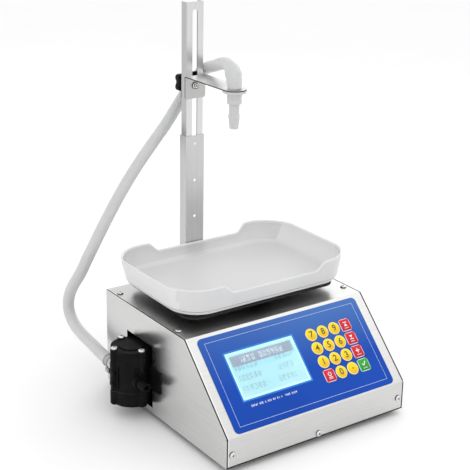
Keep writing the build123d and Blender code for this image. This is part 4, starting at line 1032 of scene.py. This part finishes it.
knob_black = black_plastic("knob_black", (0.007, 0.007, 0.0075), 0.40)
plate_low, plate_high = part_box("clamp_plate")
made = bmesh.new()
made.from_mesh(nodes["clamp_plate"].data)
for vertex in made.verts:
    if vertex.co.z > (plate_low.z + plate_high.z) / 2 + 0.008:
        vertex.co.z -= 0.0045
plate = piece("backing_plate", made, knob_black)
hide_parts("clamp_plate")
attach(plate, "arm")
knob_low, knob_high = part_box("clamp_knob")
knob_middle = (knob_low + knob_high) / 2
knob_l = knob_high.y - knob_low.y
knob_rings = []
for radius, depth, share in (
    (0.0026, 0, 0.0), (0.0072, 0, 0.0), (0.0080, 0, 0.04), (0.0080, 0, 0.24), (0.0092, 0.0004, 0.28),
    (0.0124, 0.0018, 0.31),
    (0.0144, 0.0023, 0.38), (0.0147, 0.0023, 0.55), (0.0147, 0.0023, 0.82), (0.0140, 0.0021, 0.92),
    (0.0126, 0.0016, 0.985), (0.0105, 0.0009, 1.0), (0.0070, 0, 0.985), (0.0066, 0, 0.90), (0.0044, 0, 0.88),
    (0.0026, 0, 0.88),
):
    knob_rings.append(ring(Vector((knob_middle.x, knob_low.y + knob_l * share, knob_middle.z)),
                           Vector((1, 0, 0)), Vector((0, 0, 1)), radius, 100, 5, depth))
knob = piece("star_knob", skin(knob_rings, True), knob_black, 50)
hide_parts("clamp_knob")
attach(knob, "knob")

# Nozzle: moulded in pale, slightly clear plastic, with a flange under the arm, a stepped
# body, a swelling above its tip, and a barb above the arm for the hose.
nozzle_plastic = milky_plastic("nozzle_plastic", (0.56, 0.56, 0.565), 0.30, 0.004)
nozzle_low, nozzle_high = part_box("nozzle")
nozzle_middle = (nozzle_low + nozzle_high) / 2
under_arm = arm_high.z - 0.0015
nozzle_top = nozzle_high.z - under_arm
profile = [
    (0.0040, -0.0540), (0.0056, -0.0540), (0.0061, -0.0536), (0.0064, -0.0500), (0.0071, -0.0430),
    (0.0079, -0.0385), (0.0081, -0.0370), (0.0080, -0.0358), (0.0073, -0.0342), (0.0072, -0.0330),
    (0.0072, -0.0215), (0.0074, -0.0196), (0.0098, -0.0190), (0.0102, -0.0184), (0.0102, -0.0126),
    (0.0099, -0.0122), (0.0099, -0.0116), (0.0102, -0.0112), (0.0102, -0.0050), (0.0106, -0.0042),
    (0.0158, -0.0040), (0.0165, -0.0034), (0.0165, -0.0006), (0.0160, 0.0), (0.0080, 0.0),
    (0.0080, 0.0015), (0.0072, 0.0015), (0.0072, 0.0095), (0.0057, nozzle_top), (0.0040, nozzle_top),
]
nozzle_seat = (nozzle_middle.x, nozzle_middle.y, under_arm)
nozzle = piece("filling_nozzle", turned(profile, nozzle_seat, (0, 0, 1), 56, True), nozzle_plastic, 50)
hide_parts("nozzle")
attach(nozzle, "arm")

# Hose: one length of soft milky tube, clipped to the pump's rear port, led up behind the
# post and over the arm, where it folds down and is pushed over the nozzle's barb.
hose_route = [
    (-0.1695, 0.246, 0.051), (-0.1695, 0.276, 0.051), (-0.170, 0.308, 0.057), (-0.170, 0.340, 0.061),
    (-0.171, 0.366, 0.069), (-0.1715, 0.382, 0.086), (-0.171, 0.381, 0.109), (-0.1685, 0.368, 0.132),
    (-0.1635, 0.355, 0.152), (-0.153, 0.347, 0.182), (-0.119, 0.344, 0.241), (-0.086, 0.346, 0.286),
    (-0.051, 0.346, 0.327), (-0.020, 0.352, 0.354), (0.006, 0.358, 0.381), (0.022, 0.355, 0.405),
    (0.029, 0.338, 0.428), (0.026, 0.312, 0.442), (0.018, 0.282, 0.450), (0.007, 0.250, 0.461),
    (0.003, 0.226, 0.4645), (0.0, 0.2085, 0.4540), (0.0, 0.208, 0.4348),
]
hose_route = [housing + Vector(spot) for spot in hose_route]
hose_r = 0.0085
hose_bore = 0.0060
route_curve = bpy.data.curves.new("hose_route", "CURVE")
route_curve.dimensions = "3D"
route_curve.resolution_u = 16
spline = route_curve.splines.new("NURBS")
spline.points.add(len(hose_route) - 1)
for point, spot in zip(spline.points, hose_route):
    point.co = (*spot, 1)
spline.order_u = 3
spline.use_endpoint_u = True
route_object = bpy.data.objects.new("hose_route", route_curve)
bpy.context.scene.collection.objects.link(route_object)
bpy.context.view_layer.update()
sampled = bpy.data.meshes.new_from_object(route_object.evaluated_get(bpy.context.evaluated_depsgraph_get()))
hose_path = [vertex.co.copy() for vertex in sampled.vertices]
bpy.data.objects.remove(route_object)
gone = [0.0]
for one, other in zip(hose_path, hose_path[1:]):
    gone.append(gone[-1] + (other - one).length)
hose_length = gone[-1]


def along_route(points):
    """A frame at each point of a route, carried along it without twisting."""
    later = points[1:] + points[-1:]
    earlier = points[:1] + points[:-1]
    ahead = [(other - one).normalized() for one, other in zip(earlier, later)]
    across = ahead[0].orthogonal().normalized()
    frames = []
    for direction in ahead:
        across = (across - direction * across.dot(direction)).normalized()
        frames.append((across, direction.cross(across)))
    return frames


def hose_reach(left):
    """How far the tube's outer face is from its middle, by the length left to its end over the barb."""
    cuff = max(0.0, min(1.0, (0.0145 - left) / 0.005))
    cuff = cuff * cuff * (3 - 2 * cuff)
    fold = math.exp(-((left - 0.020) / 0.010) ** 2)
    return hose_r + 0.0012 * cuff + 0.0032 * fold


outer, inner = [], []
for place, (across, up), run in zip(hose_path, along_route(hose_path), gone):
    reach = hose_reach(hose_length - run)
    outer.append(ring(place, across, up, reach, 32))
    inner.append(ring(place, across, up, reach - (hose_r - hose_bore), 32))
hose_silicone = milky_plastic("hose_silicone", (0.59, 0.595, 0.595), 0.32, 0.009)
hose = piece("filling_hose", skin(outer + inner[::-1], True), hose_silicone, 60)
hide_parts("hose")
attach(hose, "root")
hose.parent = None
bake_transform(hose)

# Hose clamp: a stainless worm-drive band with slots pressed across it, and its housing and screw below the
# hose.
band_low, band_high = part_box("hose_clamp")
port_x = hose_route[0].x
port_z = hose_route[0].z
band_middle_y = (band_low.y + band_high.y) / 2
clamp_parts = []
band_half = 0.0045
for start in (-1, 1):
    rib_y = band_middle_y + start * band_half
    rib = [(0.0086, -0.0008), (0.0095, -0.0008), (0.0097, 0.0), (0.0095, 0.0008), (0.0086, 0.0008)]
    clamp_parts.append(turned(rib, (port_x, rib_y, port_z), (0, 1, 0), 56, True))
flat = [(0.0086, -band_half), (0.0091, -band_half), (0.0091, band_half), (0.0086, band_half)]
clamp_parts.append(turned(flat, (port_x, band_middle_y, port_z), (0, 1, 0), 56, True))
for step in range(22):
    turn = math.radians(-50 + step * 12.7)
    slot_place = Vector((port_x + 0.0092 * math.cos(turn), band_middle_y, port_z + 0.0092 * math.sin(turn)))
    bump = bmesh.new()
    bmesh.ops.create_cube(bump, size=1.0)
    for vertex in bump.verts:
        vertex.co = Vector((vertex.co.x * 0.0004, vertex.co.y * 0.0062, vertex.co.z * 0.0007))
    bmesh.ops.rotate(bump, verts=bump.verts, matrix=Matrix.Rotation(-turn, 3, "Y"))
    bmesh.ops.translate(bump, verts=bump.verts, vec=slot_place)
    clamp_parts.append(bump)
box_z = band_low.z + 0.0040
case = bmesh.new()
bmesh.ops.create_cube(case, size=1.0)
for vertex in case.verts:
    taper = 0.85 if vertex.co.z < 0 else 1.0
    vertex.co = Vector((
        port_x + vertex.co.x * 0.0125, band_middle_y + vertex.co.y * 0.0105 * taper,
        box_z + vertex.co.z * 0.0074,
    ))
bmesh.ops.bevel(case, geom=case.edges[:], offset=0.0012, segments=3, affect="EDGES", clamp_overlap=True)
clamp_parts.append(case)
hex_head = [(0.0029, 0), (0.0029, 0.0018), (0.0025, 0.0026), (0.0016, 0.0026), (0.0014, 0.0018)]
clamp_parts.append(turned(hex_head, (port_x + 0.0062, band_middle_y, box_z), (1, 0, 0), 6))
band_steel = plated_steel("band_steel", (0.50, 0.50, 0.50), 0.24)
band = piece("hose_clamp_band", joined(clamp_parts), band_steel)
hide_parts("hose_clamp")
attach(band, "root")

# Pump: glass-filled black mouldings with rounded edges, clamped together by four long
# bright screws. A bracket of the same plastic holds it in the window.
pump_black = black_plastic("pump_black", (0.0045, 0.0045, 0.0046), 0.36, 700.0, 0.14)
for name in ("pump_body", "pump_top_cap", "pump_bottom_cover"):
    finish_node(name, pump_black, 0.0009, 40)
finish_node("pump_bracket", pump_black, 0.0004, 40)
cap_low, cap_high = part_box("pump_top_cap")
pump_seats = [
    (Vector(((low.x + high.x) / 2, (low.y + high.y) / 2, high.z - 0.0044)), (0, 0, 1), 0.7 * i)
    for i, (low, high) in enumerate(islands("pump_screws"))
]
pump_x, pump_y = (cap_low.x + cap_high.x) / 2, (cap_low.y + cap_high.y) / 2
body_low, body_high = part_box("pump_body")


def pump_rib(turn, half_turn, low_z, high_z, reach, root=0.0265):
    """A rib standing off the pump's round body, between two heights, about one direction."""
    sections = []
    for i in range(7):
        angle = turn + half_turn * (i / 3 - 1)
        out = Vector((math.cos(angle), math.sin(angle), 0))
        ends = 0.8 if i in (0, 6) else 1.0
        lip = (reach - root) * ends
        sections.append([
            Vector((pump_x, pump_y, height)) + out * span for span, height in (
                (root, low_z), (root + lip * 0.85, low_z), (root + lip, low_z + 0.0005),
                (root + lip, high_z - 0.0005), (root + lip * 0.85, high_z), (root, high_z),
            )
        ])
    return skin(sections)


# Moulded on the outer half of the body: three shallow hoops under the cap, a rib each side
# of both outer screw columns, and a lug half way down each column.
ribs = [
    pump_rib(math.pi, 1.25, body_high.z - drop, body_high.z - drop + 0.0014, 0.0292)
    for drop in (0.0060, 0.0100, 0.0140)
]
for low, high in islands("pump_screws"):
    column = math.atan2((low.y + high.y) / 2 - pump_y, (low.x + high.x) / 2 - pump_x)
    if math.cos(column) > 0.3:
        continue
    lug_z = body_low.z + 0.42 * (body_high.z - body_low.z)
    ribs.append(pump_rib(column, 0.19, lug_z, lug_z + 0.0075, 0.0333))
    ribs.append(pump_rib(column, 0.15, lug_z - 0.0165, lug_z - 0.0105, 0.0333))
    for side in (-1, 1):
        beside = column + side * 0.33
        if math.cos(beside) < 0.2:
            ribs.append(pump_rib(beside, 0.035, body_low.z + 0.004, body_high.z - 0.018, 0.0306))
pump_ribs = piece("pump_ribs", joined(ribs), pump_black)
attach(pump_ribs, "root")

pump_head = cross_head(0.0049, 0.0042, 0.002, 0.010, 0.66)
pump_screws = screws("pump_screw_heads", pump_head, pump_seats, screw_steel)
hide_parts("pump_screws")
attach(pump_screws, "root")

# The pump's inside: a small motor's laminated stator and its rotor, and a pair of pale
# moulded gears below it, one on the rotor's shaft.
motor_steel, tree, surface = bare_material("motor_laminations")
place = put(tree, "TexCoord").outputs["Object"]
sheets = put(tree, "TexWave", {"Vector": place, "Scale": 320.0, "Distortion": 0.4}, bands_direction="Z")
stack = put(tree, "BsdfPrincipled", {
    "Base Color": mixed(tree, sheets.outputs[0], (0.16, 0.16, 0.17, 1), (0.34, 0.34, 0.35, 1)),
    "Metallic": 1.0, "Roughness": ranged(tree, sheets.outputs[0], 0.35, 0.55),
})
tree.links.new(stack.outputs[0], surface)
finish_node("motor_stator", motor_steel)
finish_node("motor_rotor", motor_steel)
gear_plastic = milky_plastic("gear_plastic", (0.72, 0.69, 0.62), 0.45, 0.002)
finish_node("drive_gear", gear_plastic)
finish_node("driven_gear", gear_plastic)

# Back panel: the mains inlet and the rocker switch snap into the cover.
switch_black = black_plastic("switch_black", (0.012, 0.012, 0.013), 0.32, 1200.0, 0.10)
finish_node("power_inlet", switch_black, 0.0004)
finish_node("switch_frame", switch_black, 0.0004)
finish_node("switch_rocker", switch_black, 0.0004)
inlet_low, inlet_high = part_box("power_inlet")
inlet_x = (inlet_low.x + inlet_high.x) / 2
inlet_z = (inlet_low.z + inlet_high.z) / 2
pin_metal = plated_steel("pin_metal", (0.80, 0.70, 0.48), 0.2)
pin_parts = []
for dx, dz in ((-0.007, -0.003), (0.0, 0.003), (0.007, -0.003)):
    blade = bmesh.new()
    bmesh.ops.create_cube(blade, size=1.0)
    for vertex in blade.verts:
        tip = 0.7 if vertex.co.y > 0 else 1.0
        vertex.co = Vector((
            inlet_x + dx + vertex.co.x * 0.0022 * tip, inlet_high.y - 0.0096 + vertex.co.y * 0.0124,
            inlet_z + dz + vertex.co.z * 0.0042 * tip,
        ))
    bmesh.ops.bevel(blade, geom=blade.edges[:], offset=0.0002, segments=2, affect="EDGES", clamp_overlap=True)
    pin_parts.append(blade)
pins = piece("inlet_pins", joined(pin_parts), pin_metal)
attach(pins, "root")

# Controller and supply: standoffs and a folded, perforated steel case on the pan's floor.
supply_steel, tree, surface = bare_material("supply_case")
place = put(tree, "TexCoord").outputs["Object"]
pits = put(tree, "TexVoronoi", {"Vector": place, "Scale": 170.0, "Randomness": 0.0})
# The perforations are near-black dots painted on the sheet, a painted shade where holes would show.
holes = ranged(tree, pits.outputs["Distance"], 0.0, 1.0, 0.28, 0.32)
galvanised = put(tree, "TexVoronoi", {"Vector": place, "Scale": 90.0})
spangle = mixed(tree, galvanised.outputs["Distance"], (0.50, 0.51, 0.52, 1), (0.66, 0.67, 0.68, 1))
plate = put(tree, "BsdfPrincipled", {
    "Base Color": mixed(tree, holes, (0.02, 0.02, 0.02, 1), spangle), "Metallic": 0.9,
    "Roughness": ranged(tree, galvanised.outputs["Distance"], 0.35, 0.5),
})
tree.links.new(plate.outputs[0], surface)
finish_node("power_supply", supply_steel)
finish_node("board_standoffs", pin_metal)

# Studio: a pale floor, soft white light all round, and broad lamps above and in front.
ground = bmesh.new()
bmesh.ops.create_grid(ground, x_segments=1, y_segments=1, size=6.0)
floor_paint, tree, surface = bare_material("studio_floor")
paper = noise(tree, 3.0, 2.0)
matt = put(tree, "BsdfPrincipled", {
    "Base Color": mixed(tree, paper.outputs[0], (0.91, 0.91, 0.91, 1), (0.94, 0.94, 0.94, 1)),
    "Roughness": 0.9, "Specular IOR Level": 0.1,
})
tree.links.new(matt.outputs[0], surface)
floor = piece("studio_floor", ground, floor_paint)

world = bpy.data.worlds.new("studio_light")
bpy.context.scene.world = world
world.use_nodes = True
world.node_tree.nodes["Background"].inputs["Color"].default_value = (1, 1, 1, 1)
world.node_tree.nodes["Background"].inputs["Strength"].default_value = 1.05


def lamp(name, place, aim, size, power):
    """A soft rectangular lamp, aimed at a point."""
    light = bpy.data.lights.new(name, "AREA")
    light.shape = "RECTANGLE"
    light.size, light.size_y = size
    light.energy = power
    lamp_object = bpy.data.objects.new(name, light)
    bpy.context.scene.collection.objects.link(lamp_object)
    lamp_object.location = place
    lamp_object.rotation_mode = "QUATERNION"
    lamp_object.rotation_quaternion = (Vector(aim) - Vector(place)).to_track_quat("-Z", "Y")
    return lamp_object


lamp("front_lamp", (-0.9, -1.5, 1.7), (0, 0, 0.15), (1.2, 1.2), 5)
lamp("right_lamp", (1.05, -0.4, 1.6), (0, 0, 0.1), (1.2, 1.2), 3)
lamp("back_lamp", (1.8, 1.1, 0.8), (0, 0, 0.15), (1.2, 1.0), 4)

camera_data = bpy.data.cameras.new("view_camera")
camera_data.lens = 91.78
camera_data.sensor_width = 36
camera_data.clip_end = 20
camera = bpy.data.objects.new("view_camera", camera_data)
bpy.context.scene.collection.objects.link(camera)
azimuth, pitch, roll = math.radians(-35.475), math.radians(19.921), math.radians(1.018)
level = math.cos(pitch)
forward = Vector((-math.sin(azimuth) * level, math.cos(azimuth) * level, -math.sin(pitch)))
level_right = forward.cross(Vector((0, 0, 1))).normalized()
level_up = level_right.cross(forward)
camera_right = level_right * math.cos(roll) + level_up * math.sin(roll)
camera_up = level_up * math.cos(roll) - level_right * math.sin(roll)
camera.matrix_world = Matrix((
    (camera_right.x, camera_up.x, -forward.x, housing.x - 0.91734),
    (camera_right.y, camera_up.y, -forward.y, housing.y - 1.08631),
    (camera_right.z, camera_up.z, -forward.z, housing.z + 0.79941),
    (0, 0, 0, 1),
))
bpy.context.scene.camera = camera
bpy.context.scene.view_settings.view_transform = "Standard"
